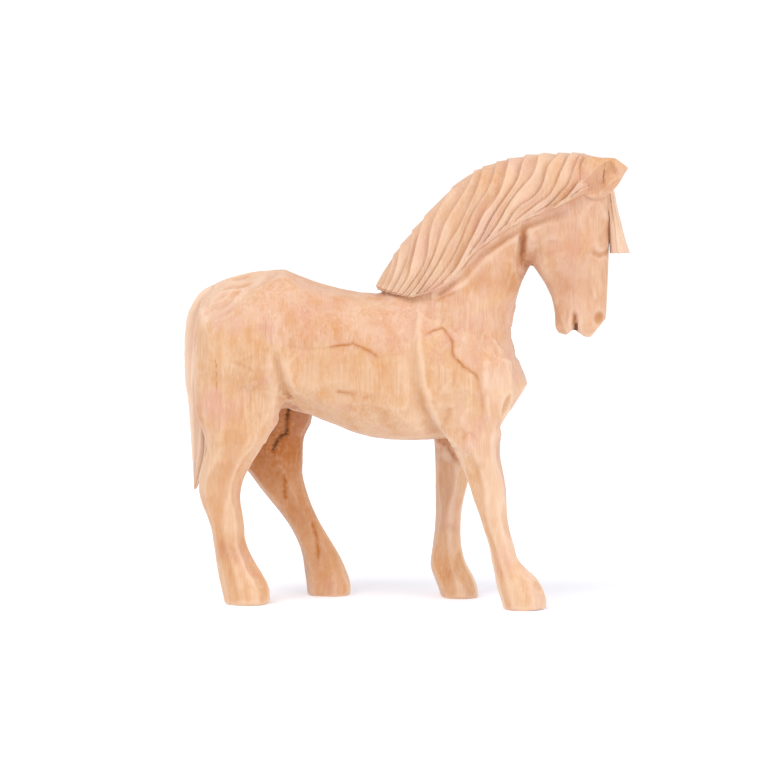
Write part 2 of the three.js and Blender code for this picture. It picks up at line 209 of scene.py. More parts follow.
def points_of(data):
    """A mesh's points, in mm."""
    flat = np.zeros(len(data.vertices) * 3)
    data.vertices.foreach_get("co", flat)
    return flat.reshape(-1, 3) / MM


def ring_mesh(name, rings):
    """A closed tube through rings of points, with a flat lid on each end."""
    rows, around = rings.shape[:2]
    faces = []
    for i in range(rows - 1):
        for j in range(around):
            k = (j + 1) % around
            faces.append((i * around + j, i * around + k, (i + 1) * around + k, (i + 1) * around + j))
    faces.append(tuple(range(around))[::-1])
    faces.append(tuple((rows - 1) * around + j for j in range(around)))
    return new_mesh(name, rings.reshape(-1, 3), faces)


def turn_outward(data):
    """Points every face of a closed mesh outwards."""
    work = bmesh.new()
    work.from_mesh(data)
    bmesh.ops.recalc_face_normals(work, faces=work.faces)
    work.to_mesh(data)
    work.free()


def evaluated_mesh(made):
    """The object's mesh with its modifiers applied, as a plain mesh."""
    graph = bpy.context.evaluated_depsgraph_get()
    return bpy.data.meshes.new_from_object(made.evaluated_get(graph))


# Each joint: the pieces on its two sides, and the way the first one looks across it.
JOINTS = [("trunk", leg, (0, 0, -1)) for leg in LEG_NODES]
JOINTS += [("trunk", "neck", (0.5, 0, 0.87)), ("neck", "head", (1, 0, 0))]
joint_planes = {}
shapes = {node: welded(node) for node in SKIN_NODES}
stretched = {node: shapes[node][0].copy() for node in SKIN_NODES}
for first, second, toward in JOINTS:
    normal, level, flat = flat_side(*shapes[first], toward)
    other_normal, other_level, other_flat = flat_side(*shapes[second], [-c for c in toward])
    joint_planes[second] = normal, (level - other_level) / 2
    if second in LEG_NODES[1:]:
        flat = flat[:0]
    stretched[first][flat] += normal * JOINT_OVERLAP
    stretched[second][other_flat] -= normal * JOINT_OVERLAP

all_points = []
all_faces = []
for node in SKIN_NODES:
    all_faces += (shapes[node][1] + sum(len(p) for p in all_points)).tolist()
    all_points.append(stretched[node])
lips_low, lips_high = box("head")
bridge = bmesh.new()
bmesh.ops.create_cube(bridge, size=1.0)
bridge_points = np.array([v.co for v in bridge.verts]) * LIP_BRIDGE
bridge_points += (lips_low[0] + LIP_BRIDGE_SHARE * (lips_high[0] - lips_low[0]), 0,
                  lips_low[2] + LIP_BRIDGE_HEIGHT)
bmesh.ops.triangulate(bridge, faces=bridge.faces)
all_faces += [[v.index + sum(len(p) for p in all_points) for v in f.verts] for f in bridge.faces]
all_points.append(bridge_points)
bridge.free()
block = new_mesh("block", np.concatenate(all_points), all_faces)
remesh = block.modifiers.new("squares", "REMESH")
remesh.mode = "VOXEL"
remesh.voxel_size = SKIN_GRAIN * MM
block_mesh = evaluated_mesh(block)
bpy.data.objects.remove(block)


THROUGH = 2.5            # a stroke leaves alone what lies further in or out than this
SAME_SIDE = 0.25         # and what looks away from it by more than this cosine


class Carving:
    """A closed surface that is being carved: its points in mm, and its four-cornered faces."""

    def __init__(self, points, quads):
        self.points = points
        self.quads = quads
        self.tone = np.zeros(len(points))
        pairs = np.stack([quads.ravel(), np.roll(quads, -1, axis=1).ravel()], axis=1)
        pairs = np.unique(np.sort(pairs, axis=1), axis=0)
        self.ends = pairs.T
        self.degree = np.bincount(pairs.ravel(), minlength=len(points)).astype(float)

    def average(self, values):
        """Each point's mean over its neighbours."""
        first, second = self.ends
        total = np.zeros_like(values)
        for axis in range(values.shape[1]):
            total[:, axis] += np.bincount(first, values[second, axis], len(values))
            total[:, axis] += np.bincount(second, values[first, axis], len(values))
        return total / self.degree[:, None]

    def soften(self, turns):
        """Smooths without shrinking: each turn pulls points in to their neighbours and back out."""
        for _ in range(turns):
            for share in (0.5, -0.52):
                self.points += share * (self.average(self.points) - self.points)

    def facing(self, turns=0):
        """Outward direction at each point, evened out over its surroundings by that many turns."""
        corner = self.points[self.quads]
        across = np.cross(corner[:, 2] - corner[:, 0], corner[:, 3] - corner[:, 1])
        total = np.zeros_like(self.points)
        for k in range(4):
            for axis in range(3):
                total[:, axis] += np.bincount(self.quads[:, k], across[:, axis], len(total))
        for _ in range(turns):
            total = 0.5 * total + 0.5 * self.average(total)
        return total / np.linalg.norm(total, axis=1, keepdims=True)

    def even(self, values, turns):
        """Evens out one number for each point, over its surroundings."""
        for _ in range(turns):
            values = 0.4 * values + 0.6 * self.average(values[:, None])[:, 0]
        return values

    def clamp_down(self, sides):
        """Gets ready for cutting: which way each point looks, and the points in order from tail to head."""
        self.sides = sides
        self.order = np.argsort(self.points[:, 0])
        self.sorted_x = self.points[self.order, 0]

    def cut(self, centre, normal, grain, depth, hollow_along, hollow_across, reach, tone):
        """One stroke of the knife: everything near it that stands above its slightly hollow floor goes.
        Each stroke meets the grain at its own angle, so it is a little paler or darker than the next."""
        first, last = np.searchsorted(self.sorted_x, [centre[0] - reach - 1, centre[0] + reach + 1])
        near = self.order[first:last]
        away = self.points[near] - centre
        height = away @ normal
        run = away @ grain
        aside = away @ np.cross(normal, grain)
        floor = -depth + run ** 2 / (2 * hollow_along) + aside ** 2 / (2 * hollow_across)
        distance = np.hypot(run, aside)
        hit = (height > floor) & (np.abs(height) < THROUGH) & (distance < reach)
        hit &= self.sides[near] @ normal > SAME_SIDE
        removed = np.minimum(height - floor, 1.25 * depth) * (1 - ease(distance, 0.5 * reach, reach))
        self.points[near[hit]] -= removed[hit, None] * normal
        self.tone[near[hit & (removed > 0.25 * depth)]] = tone


def islands(count, ends):
    """A label for each point, the same for all points that hang together."""
    label = np.arange(count)
    first, second = ends
    while True:
        low = np.minimum(label[first], label[second])
        fresh = label.copy()
        np.minimum.at(fresh, first, low)
        np.minimum.at(fresh, second, low)
        fresh = fresh[fresh]
        if (fresh == label).all():
            return label
        label = fresh


points = points_of(block_mesh)
quads = np.array([list(f.vertices) for f in block_mesh.polygons])
bpy.data.meshes.remove(block_mesh)
skin = Carving(points, quads)
label = islands(len(points), skin.ends)
keep = label == np.bincount(label).argmax()
renumber = np.cumsum(keep) - 1
skin = Carving(points[keep], renumber[quads[keep[quads[:, 0]]]])
skin.soften(SKIN_EVENING)

# ---- the main forms, on both sides of the horse

SHOULDER_RIDGE = places("trunk", [
    (0.681, 0.86), (0.693, 0.665), (0.702, 0.492), (0.711, 0.349), (0.728, 0.233), (0.752, 0.118),
    (0.779, 0.034), (0.802, -0.035)])
FLANK_FOLD = places("trunk", [
    (0.262, 0.56), (0.269, 0.508), (0.275, 0.444), (0.281, 0.353), (0.293, 0.284), (0.302, 0.243)])
RUMP_FACET = places("trunk", [
    (0.05, 0.69), (0.079, 0.727), (0.136, 0.785), (0.173, 0.838), (0.197, 0.896), (0.234, 0.979), (0.27, 1.1)])
THIGH_FRONT = places("trunk", [(0.270, 0.22), (0.270, 0.18), (0.262, 0.13)])
STIFLE = places("trunk", [(0.31, 0.16), (0.30, 0.09)])
CHEST_CORNER = places("trunk", [(0.885, 0.56), (0.889, 0.453), (0.898, 0.257), (0.914, 0.021), (0.92, -0.1)])
MANE_SHADOW = places("mane", [
    (0.90, 0.62), (0.849, 0.595), (0.708, 0.51), (0.619, 0.426), (0.508, 0.302), (0.427, 0.154),
    (0.329, 0.041)])
EYE_CREASE = places("head", [(0.74, 0.50), (0.789, 0.491), (0.873, 0.474), (0.942, 0.486), (1.0, 0.505)])
BROW = places("head", [
    (0.738, 0.746), (0.832, 0.74), (0.915, 0.706), (0.965, 0.655), (0.975, 0.599), (0.965, 0.542)])
NOSE_EDGE = places("head", [(0.79, 0.42), (0.80, 0.355), (0.812, 0.28), (0.825, 0.2)])
MOUTH_LINE = places("head", [(0.585, 0.16), (0.589, 0.10), (0.587, -0.02)])
JAW = places("head", [
    (0.022, 0.66), (0.022, 0.434), (0.058, 0.401), (0.178, 0.348), (0.273, 0.293), (0.309, 0.218)])


def side_view():
    return skin.points[:, [0, 2]]


def trace(path):
    """Of each point of the skin: its distance to a side-view path, and the share along it there."""
    return along_path(side_view(), path)


def from_place(node, centre):
    """Each point's distance, as seen from the side, to a place in a node's box."""
    return np.linalg.norm(side_view() - places(node, [centre])[0], axis=1)


def shove(amount):
    """Moves the skin outwards by that many mm, or inwards where it is less than nothing."""
    skin.points += skin.facing(4) * np.asarray(amount)[:, None]


def on_sides(sharpness=(0.15, 0.6)):
    """1 where the skin looks sideways, 0 where it looks up, down, forward or back."""
    return ease(np.abs(skin.facing(6)[:, 1]), *sharpness)


flank = on_sides()
signed, share = trace(SHOULDER_RIDGE)
low_part = ease(share, 0.25, 0.7)
ends = taper(share, 0.08, 0.93)
ridge = profile(signed, (0.9, 0, 1.3), (-0.6 - 1.3 * low_part, -3.4, 2.4))
ridge += profile(signed, (0.35, -11, 5), (-0.55, 4.2, 2.6))
trunk_low, trunk_high = box("trunk")
in_trunk = ease(skin.points[:, 2], trunk_low[2] - 6, trunk_low[2] + 4)
shove(ridge * ends * flank * in_trunk)

signed, share = trace(FLANK_FOLD)
ends = ease(share, 0, 0.35) * (1 - ease(share, 0.97, 1.0) * 0.5)
shove(profile(signed, (-1.8, 0, 1.4), (0.5, 4, 2.6), (0.3, -4, 2.5)) * ends * flank)
signed, share = trace(THIGH_FRONT)
skin.points[:, 0] += 3.0 * bell(signed, 3.8) * ease(np.abs(skin.points[:, 1]), 3, 7)
signed, share = trace(STIFLE)
skin.points[:, 0] += 2.4 * bell(signed, 3.5) * ease(skin.points[:, 1], 3, 7)
around_groin = bell(from_place("trunk", (0.292, 0.15)), 3.6)
shove(-2.4 * around_groin * ease(-skin.facing(4)[:, 2], -0.1, 0.5) * ease(np.abs(skin.points[:, 1]), 3, 7))

signed, share = trace(CHEST_CORNER)
ends = taper(share, 0.2, 0.9)
shove((0.65 * bell(signed, 1.3) - 0.35 * bell(np.abs(signed) - 3.2, 2)) * ends * flank)

signed, share = trace(RUMP_FACET)
inside = ease(signed, -1.2, 2.0) * (1 - ease(signed, 9, 14)) * ease(share, 0, 0.08)
inside *= 1 - ease(share, 0.85, 1)
shove(-1.3 * inside * ease(np.abs(skin.points[:, 1]), 2, 7))

signed, share = trace(MANE_SHADOW)
shove((-0.9 * bell(signed, 1.1) + 0.35 * bell(np.abs(signed) - 2.4, 1.0)) * ease(share, 0, 0.1) * on_sides())

head_sides = on_sides((0.05, 0.45))
signed, share = trace(JAW)
behind = -3.4 * bell(signed + 1.1, 1.0) * (1 - ease(share, 0.4, 0.6))
edge_of_jaw = 0.5 * bell(signed - 1.6, 1.4)
shove((behind + edge_of_jaw) * on_sides((0.1, 0.5)) * ease(share, 0.0, 0.3))
head_back = box("head")[0][0]
head_x = ease(skin.points[:, 0], head_back + 1, head_back + 4)
for line, ridges, falling in ((BROW, ((-0.75, -1.1, 1.1), (0.35, 0.6, 0.7)), None),
                              (EYE_CREASE, ((-1.0, 0, 0.75), (0.45, 2, 1.6)), None),
                              (NOSE_EDGE, ((0.65, 0, 0.8), (-0.35, -2.2, 1.5)), 0.85)):
    signed, share = trace(line)
    amount = profile(signed, *ridges) * head_sides * head_x * ease(share, 0, 0.3)
    shove(amount * (1 - ease(share, falling, 1)) if falling else amount)
signed, share = trace(MOUTH_LINE)
shove(-1.5 * bell(signed, 0.65) * head_x * ease(share, 0, 0.3) * head_sides)
skin.soften(1)

# ---- knife work

chance = np.random.default_rng(41)


SEED_TRIES = 9000        # places tried, of which those too close to another are dropped


def seeds(mask, spacing, stretch_z):
    """Well spread points of the skin inside a mask, further apart up and down than across."""
    pool = np.nonzero(mask)[0]
    picked = chance.choice(pool, min(SEED_TRIES, len(pool)), replace=False)
    scale = np.array([1, 1, 1 / stretch_z])
    kept = np.zeros((0, 3))
    chosen = []
    for k in picked:
        spot = skin.points[k] * scale
        if len(kept) and ((kept - spot) ** 2).sum(1).min() < spacing ** 2:
            continue
        kept = np.vstack([kept, spot])
        chosen.append(k)
    return chosen


def whittle(mask, spacing, stretch_z, depth, hollow_along, hollow_across, tone):
    """Covers part of the skin with knife strokes that run with the upright grain."""
    skin.clamp_down(skin.facing(2))
    broad = skin.facing(24)
    for k in seeds(mask, spacing, stretch_z):
        normal = unit(broad[k] + chance.normal(0, 0.05, 3))
        grain = laid_on(np.array([chance.normal(0, 0.12), 0, 1]), normal)
        stroke_depth = depth * chance.uniform(0.55, 1.35)
        reach = spacing * stretch_z * 1.3
        skin.cut(skin.points[k], normal, grain, stroke_depth, hollow_along * chance.uniform(0.7, 1.6),
                 hollow_across * chance.uniform(0.7, 1.6), reach, chance.uniform(-1, 1) * tone)


def down_strokes(leg, flats, depth, seed):
    """Long strokes down a leg: flats that meet in ridges, which run from its top to the hoof."""
    luck = np.random.default_rng(seed)
    low, high = box(leg)
    top = high[2] + 9
    hind = low[0] + high[0] < box("trunk")[0][0] + box("trunk")[1][0]
    half = np.sign(low[1] + high[1])
    x, y, z = skin.points.T
    beside = (x > low[0] - 1.5) & (x < high[0] + 1.5)
    mine = np.nonzero(beside & (z < top) & (y * half > 1.0) & ((x < MIDDLE) == hind))[0]
    shelf = np.clip(z[mine], 0, top - 0.01).astype(int)
    shelves = int(top) + 1
    kernel = np.array([1, 2, 3, 4, 3, 2, 1]) / 16

    def outermost(values):
        """The largest value at each height, evened out over a few mm."""
        found = np.full(shelves, -1e9)
        np.maximum.at(found, shelf, values)
        known = found > -1e8
        found = np.interp(np.arange(shelves), np.nonzero(known)[0], found[known])
        found = np.convolve(np.pad(found, 3, mode="edge"), kernel, mode="valid")
        return np.interp(z[mine] - 0.5, np.arange(shelves), found)

    centre = np.stack([(outermost(v[mine]) - outermost(-v[mine])) / 2 for v in (x, y)], axis=1)
    fade = 1 - ease(z[mine], high[2] - 4, top)
    for k in range(flats):
        turn = 2 * math.pi * (k + luck.uniform(-0.28, 0.28)) / flats + 0.25
        turn = turn + luck.uniform(-0.25, 0.25) * np.sin(z[mine] * 0.07 + luck.uniform(0, 6))
        way = np.stack([np.cos(turn), np.sin(turn)], axis=1)
        stands = ((skin.points[mine, :2] - centre) * way).sum(1)
        reach = outermost(stands)
        waver = 1 + 0.45 * np.sin(z[mine] * 0.23 + luck.uniform(0, 6))
        over = np.clip(stands - (reach - depth * waver * luck.uniform(0.7, 1.3)), 0, 1.6 * depth) * fade
        skin.points[mine, :2] -= way * over[:, None]
        skin.tone[mine[over > 0.1]] = luck.uniform(-1, 1)


x, y, z = skin.points.T
leg_top = trunk_low[2] + 2
legs_mask = z < leg_top + 6
head_mask = x > head_back
trunk_mask = ~legs_mask & (x < box("neck")[1][0] + 2)
# spacing in mm, a stroke's length in spacings, its depth, radius of its hollow along and across, spread of tone
TRUNK_CUTS = (7.5, 1.9, 0.34, 110, 34, 0.22), (6.0, 1.7, 0.12, 60, 20, 0.22)
LEG_CUTS = (9.5, 1.8, 0.20, 34, 18, 0.9)
HEAD_CUTS = (5.5, 1.7, 0.26, 60, 30, 0.3), (4.2, 1.5, 0.10, 30, 16, 0.3)
for cuts in TRUNK_CUTS:
    whittle(trunk_mask, *cuts)
# the legs are left a little stout, because the long strokes take about that much off them
shove(0.32 * (1 - ease(skin.points[:, 2], leg_top - 2, leg_top + 6)) * (skin.points[:, 2] > 0.6))
for number, leg in enumerate(LEG_NODES):
    down_strokes(leg, flats=6, depth=0.80, seed=11 + number)
whittle(legs_mask & (z > 2), *LEG_CUTS)
for cuts in HEAD_CUTS:
    whittle(head_mask, *cuts)


def gouge(side, node, x_share, z_share, tilt, depth, length, width):
    """One scoop of the gouge into the side of the horse, at a place in a node's side view."""
    spot = places(node, [(x_share, z_share)])[0]
    facing = skin.facing(6)
    near = (facing[:, 1] * side > 0.15) & (np.hypot(*(side_view() - spot).T) < 1.2)
    if not near.any():
        return
    centre = skin.points[near].mean(0)
    normal = unit(facing[near].mean(0))
    grain = laid_on(np.array([math.sin(tilt), 0, math.cos(tilt)]), normal)
    skin.clamp_down(facing)
    skin.cut(centre, normal, grain, depth, length ** 2 / (8 * depth), width ** 2 / (8 * depth), length,
             chance.uniform(-0.9, 0.3))


def pare(node, start, end, reach=2.5):
    """Cuts straight across, as seen from the side: the wood on the left of the line from start to end goes."""
    start, end = places(node, [start, end])
    length = np.linalg.norm(end - start)
    step = (end - start) / length
    away = side_view() - start
    run = away @ step
    over = step[0] * away[:, 1] - step[1] * away[:, 0]
    beside = ease(run, -reach, 0) * (1 - ease(run, length, length + reach))
    over = np.where(over < 4, np.maximum(over, 0), 0) * beside
    skin.points[:, 0] += over * step[1]
    skin.points[:, 2] -= over * step[0]


def drift(leg, amount):
    """Sets a leg's lower half forward or back by that many mm."""
    low, high = box(leg)
    x, y, z = skin.points.T
    mine = (x > low[0] - 3) & (x < high[0] + 3) & (y * (low[1] + high[1]) > 0)
    skin.points[:, 0] += amount * mine * (1 - ease(z, 14, 46))


MUZZLE = ((0.972, 0.50), (0.94, 0.105), (0.755, -0.007), (0.599, 0.027))
CHIN = ((0.543, 0.039), (0.479, 0.016), (0.371, 0.027), (0.298, 0.078))
BREAST = ((0.96, 0.599), (1.0, 0.328), (0.93, 0.105))
for node, corners in (("head", MUZZLE), ("head", CHIN), ("trunk", BREAST)):
    for start, end in zip(corners[:-1], corners[1:]):
        pare(node, start, end)
drift("right_hind_leg", -0.8)
drift("left_hind_leg", -0.5)
drift("right_foreleg", -0.5)
# node, place as shares of its length and height, tilt, depth, length and width in mm
NOSTRIL = ("head", 0.865, 0.115, -0.5, 1.0, 5.5, 4.2)
BREAST_NOTCH = ("trunk", 0.952, 0.24, 0.35, 1.1, 8.5, 3.6)
RUMP_MARKS = [("trunk", x_share, z_share, tilt, 0.45, 8.0, 3.6) for x_share, z_share, tilt in (
    (0.10, 0.80, 0.9), (0.13, 0.86, 0.9), (0.155, 0.91, 0.9), (0.085, 0.84, 0.9), (0.115, 0.90, 0.9),
    (0.07, 0.78, 0.9), (0.14, 0.95, 1.0))]
for side in (RIGHT, LEFT):
    for scoop in (NOSTRIL, BREAST_NOTCH, *RUMP_MARKS):
        gouge(side, *scoop)
skin.soften(1)

# ---- veins, bark and patches in the wood, and painted light and shade

HEART_LINE = places("trunk", [
    (-0.2, 0.62), (0.08, 0.70), (0.20, 0.60), (0.33, 0.56), (0.431, 0.563), (0.5, 0.587), (0.574, 0.508),
    (0.648, 0.531), (0.70, 0.60), (0.76, 0.675), (0.795, 0.52), (0.86, 0.413), (0.884, 0.212), (0.93, 0.34),
    (1.2, 0.5)])
# the box that the shares are of, path, half of the horse (the mark shows from the right), width, strength
VEINS_AND_SHADE = (
    ("trunk", [(0.425, 0.563), (0.47, 0.575), (0.5, 0.587), (0.526, 0.564), (0.574, 0.508)], RIGHT, 0.36, 0.54),
    ("trunk", [(0.526, 0.564), (0.55, 0.535), (0.574, 0.508)], RIGHT, 0.45, 0.42),
    ("trunk", [(0.574, 0.508), (0.60, 0.519), (0.648, 0.525)], RIGHT, 0.4, 0.14),
    ("trunk", [(0.30, 0.58), (0.36, 0.55), (0.425, 0.563)], RIGHT, 0.6, 0.14),
    ("trunk", [(0.451, 0.309), (0.479, 0.303), (0.495, 0.298)], RIGHT, 0.45, 0.46),
    ("trunk", [(0.495, 0.31), (0.499, 0.285)], RIGHT, 0.7, 0.34),
    ("trunk", [(0.53, 0.27), (0.56, 0.285)], RIGHT, 0.5, 0.25),
    ("trunk", [(0.715, 0.635), (0.733, 0.658), (0.76, 0.675), (0.778, 0.635), (0.792, 0.589), (0.795, 0.52),
               (0.822, 0.469), (0.86, 0.413), (0.872, 0.362)], RIGHT, 0.38, 0.54),
    ("trunk", [(0.715, 0.635), (0.733, 0.658), (0.76, 0.675), (0.778, 0.635), (0.792, 0.589)], RIGHT, 0.5, 0.4),
    ("trunk", [(0.872, 0.362), (0.881, 0.265), (0.884, 0.212)], RIGHT, 0.5, 0.26),
    ("trunk", [(0.76, 0.675), (0.757, 0.70), (0.765, 0.725)], RIGHT, 0.35, 0.3),
    ("trunk", [(0.795, 0.44), (0.80, 0.40), (0.79, 0.34)], RIGHT, 0.6, 0.22),
    ("trunk", [(0.739, 0.822), (0.769, 0.857), (0.798, 0.88)], RIGHT, 0.5, 0.4),
    ("trunk", [(0.815, 0.046), (0.844, 0.076), (0.869, 0.03)], RIGHT, 0.45, 0.2),
    # the next two are painted shade: in the mouth slit, then in the step behind the jaw
    ("head", [(0.578, 0.15), (0.58, 0.10), (0.582, 0.04)], RIGHT, 0.4, 0.45),
    ("head", [(-0.02, 0.62), (-0.02, 0.52), (-0.01, 0.42)], RIGHT, 0.7, 0.5),
    ("trunk", [(0.085, 0.494), (0.088, 0.395), (0.088, 0.309)], RIGHT, 0.16, 0.5),
    ("trunk", [(0.14, 0.47), (0.165, 0.46), (0.20, 0.43)], RIGHT, 0.8, 0.22),
    ("trunk", [(0.255, -0.21), (0.256, -0.295), (0.258, -0.385)], LEFT, 0.9, 0.66),
    ("trunk", [(0.335, -0.50), (0.352, -0.62), (0.358, -0.69), (0.36, -0.745)], LEFT, 0.7, 0.60),
    ("trunk", [(0.72, -0.02), (0.757, -0.042), (0.79, -0.14)], LEFT, 1.0, 0.5),
)
# painted shade darkens the far side where it shows between the legs, the throat behind the jaw and the nostril
# broad brown patches, the wood's own and painted shade: centre, radius in mm, half, strength
CLOUDS_AND_SHADE = (
    ("trunk", (0.225, -0.03), 19, LEFT, 0.58),
    ("trunk", (0.30, -0.45), 13, LEFT, 0.34),
    ("trunk", (0.35, -0.75), 12, LEFT, 0.24),
    ("trunk", (0.77, -0.05), 8, LEFT, 0.18),
    ("head", (-0.02, 0.45), 4.0, RIGHT, 0.34),
    ("trunk", (0.35, -0.44), 4, LEFT, 0.50),
    ("trunk", (0.11, -0.62), 6, RIGHT, 0.22),
    ("right_foreleg", (0.29, 0.88), 2.2, RIGHT, 0.20),
    ("left_foreleg", (0.43, 0.45), 3, LEFT, 0.25),
    ("left_foreleg", (0.50, 0.50), 22, LEFT, 0.13),
    ("left_foreleg", (0.45, 0.16), 3, LEFT, 0.25),
    ("neck", (0.93, 0.40), 5, RIGHT, 0.24),
    ("neck", (0.70, 0.42), 5, RIGHT, 0.17),
    ("head", (0.45, 0.30), 5, RIGHT, 0.18),
    ("head", (0.875, 0.115), 2.2, RIGHT, 0.30),
)
# painted light (above 0) and painted shade (below 0) over whole regions: centre, radius in mm, amount
LIGHT_AND_SHADE_PATCHES = (
    ("trunk", (0.95, 0.35), 9, 0.55),
    ("trunk", (0.50, 0.60), 22, -0.30),
    ("right_foreleg", (0.55, 0.30), 18, -0.20),
    ("right_foreleg", (0.30, 0.85), 14, 0.05),
    ("left_foreleg", (0.50, 0.55), 24, 1.15),
    ("head", (0.60, 0.40), 20, -0.60),
    ("neck", (0.80, 0.40), 13, -0.35),
)
BARK_CRACK = places("trunk", [
    (0.31, 0.235), (0.29, 0.205), (0.272, 0.164), (0.266, 0.086), (0.264, 0.021), (0.242, -0.005),
    (0.230, -0.045), (0.222, -0.075)])

FULL_HOLLOW = 0.022      # a point this far below its neighbours, in mm, gets the darkest painted shade

facing = skin.facing(3)
x, y, z = skin.points.T
stain_and_shade = np.zeros(len(skin.points))
for number, (node, path, half, width, strength) in enumerate(VEINS_AND_SHADE):
    trail = wander(places(node, path), 1.2, 0.22, number)
    signed, share = trace(trail)
    shows = ease(-facing[:, 1], 0.1, 0.35) * ease(y * half, 0.5, 3.0)
    mark = strength * (0.72 * bell(signed, width) + 0.28 * bell(signed, 3.6 * width))
    fade = 0.5 + 0.5 * ease(share, 0, 0.1) * (1 - ease(share, 0.9, 1))
    stain_and_shade = np.maximum(stain_and_shade, mark * shows * fade)
for node, centre, radius, half, strength in CLOUDS_AND_SHADE:
    shows = ease(-facing[:, 1], -0.2, 0.3) * ease(y * half, 0.5, 3.0)
    stain_and_shade = np.maximum(stain_and_shade, strength * bell(from_place(node, centre), radius) * shows)
# the crack lies on the inner face of the left hind leg and shows between the legs
trail = wander(BARK_CRACK, spacing=1.5, amount=0.45, seed=77)
signed, share = trace(trail)
inner = ease(-facing[:, 1], 0.0, 0.3) * ease(y, 1, 4)
ragged = 0.6 + 0.7 * np.sin(z * 2.1 + 3 * np.sin(z * 0.7)) ** 2
crack = bell(signed, (0.7 + 0.6 * share) * ragged) * inner
stain_and_shade = np.maximum(stain_and_shade, crack)
stain_and_shade = np.maximum(stain_and_shade, 0.45 * bell(signed, 4.0) * inner)
skin.points -= facing * (0.7 * crack)[:, None]

signed, share = trace(HEART_LINE)
waver = 1.2 * np.sin(x * 0.37 + 0.6 * z) + 0.8 * np.sin(x * 0.9 - z * 0.41)
heart = ease(signed + waver, -1.4, 1.4)
# how far each point lies below its neighbours: painted shade in the hollows, a painted highlight on the ridges
low_ridge = skin.average(skin.points) - skin.points
hollow = np.einsum("ij,ij->i", low_ridge, facing)
hollow = np.clip(skin.even(hollow, 7) / FULL_HOLLOW, -1, 1)
signed, share = trace(RUMP_FACET)
tone = skin.tone + 0.7 * ease(signed, -0.8, 0.8) * (1 - ease(signed, 10, 16)) * ease(facing[:, 2], -0.2, 0.5)
# painted light and painted shade over whole regions of the horse
for node, centre, radius, amount in LIGHT_AND_SHADE_PATCHES:
    tone = tone + amount * bell(from_place(node, centre), radius)
tone = skin.even(tone, 3)

# ---- the locks tree


def add(tree, kind, inputs=(), **settings):
    """Adds one node: its settings by name, then its inputs, each a plain value or the socket it is fed by."""
    made = tree.nodes.new(kind)
    for name, value in settings.items():
        setattr(made, name, value)
    for key, value in dict(inputs).items():
        if isinstance(value, bpy.types.NodeSocket):
            tree.links.new(value, made.inputs[key])
        else:
            made.inputs[key].default_value = value
    return made


LOCK_INPUTS = (
    ("Locks", "NodeSocketFloat", 15.0),      # how many locks lie side by side
    ("Sweep", "NodeSocketFloat", 0.15),      # how far a lock leans back as it falls, as a share of the row
    ("Hook", "NodeSocketFloat", 1.3),        # 1 leans evenly, more leans only near the tip
    ("Depth", "NodeSocketFloat", 0.0012),    # how far a lock stands above the foot of the one beside it
    ("Wall", "NodeSocketFloat", 7.0),        # steepness of the wall between two locks
    ("Wander", "NodeSocketFloat", 0.3),      # how unevenly the channels run
    # painted shade: the next setting darkens the channels and pales the ridges
    ("Grime", "NodeSocketFloat", 1.0),       # how much darker the channels are than the ridges
    # painted light: the next setting makes the whole piece paler
    ("Pale", "NodeSocketFloat", 0.0),        # how much paler the whole is than the block
    ("Seed", "NodeSocketFloat", 3.0),
    ("Material", "NodeSocketMaterial", None),
)


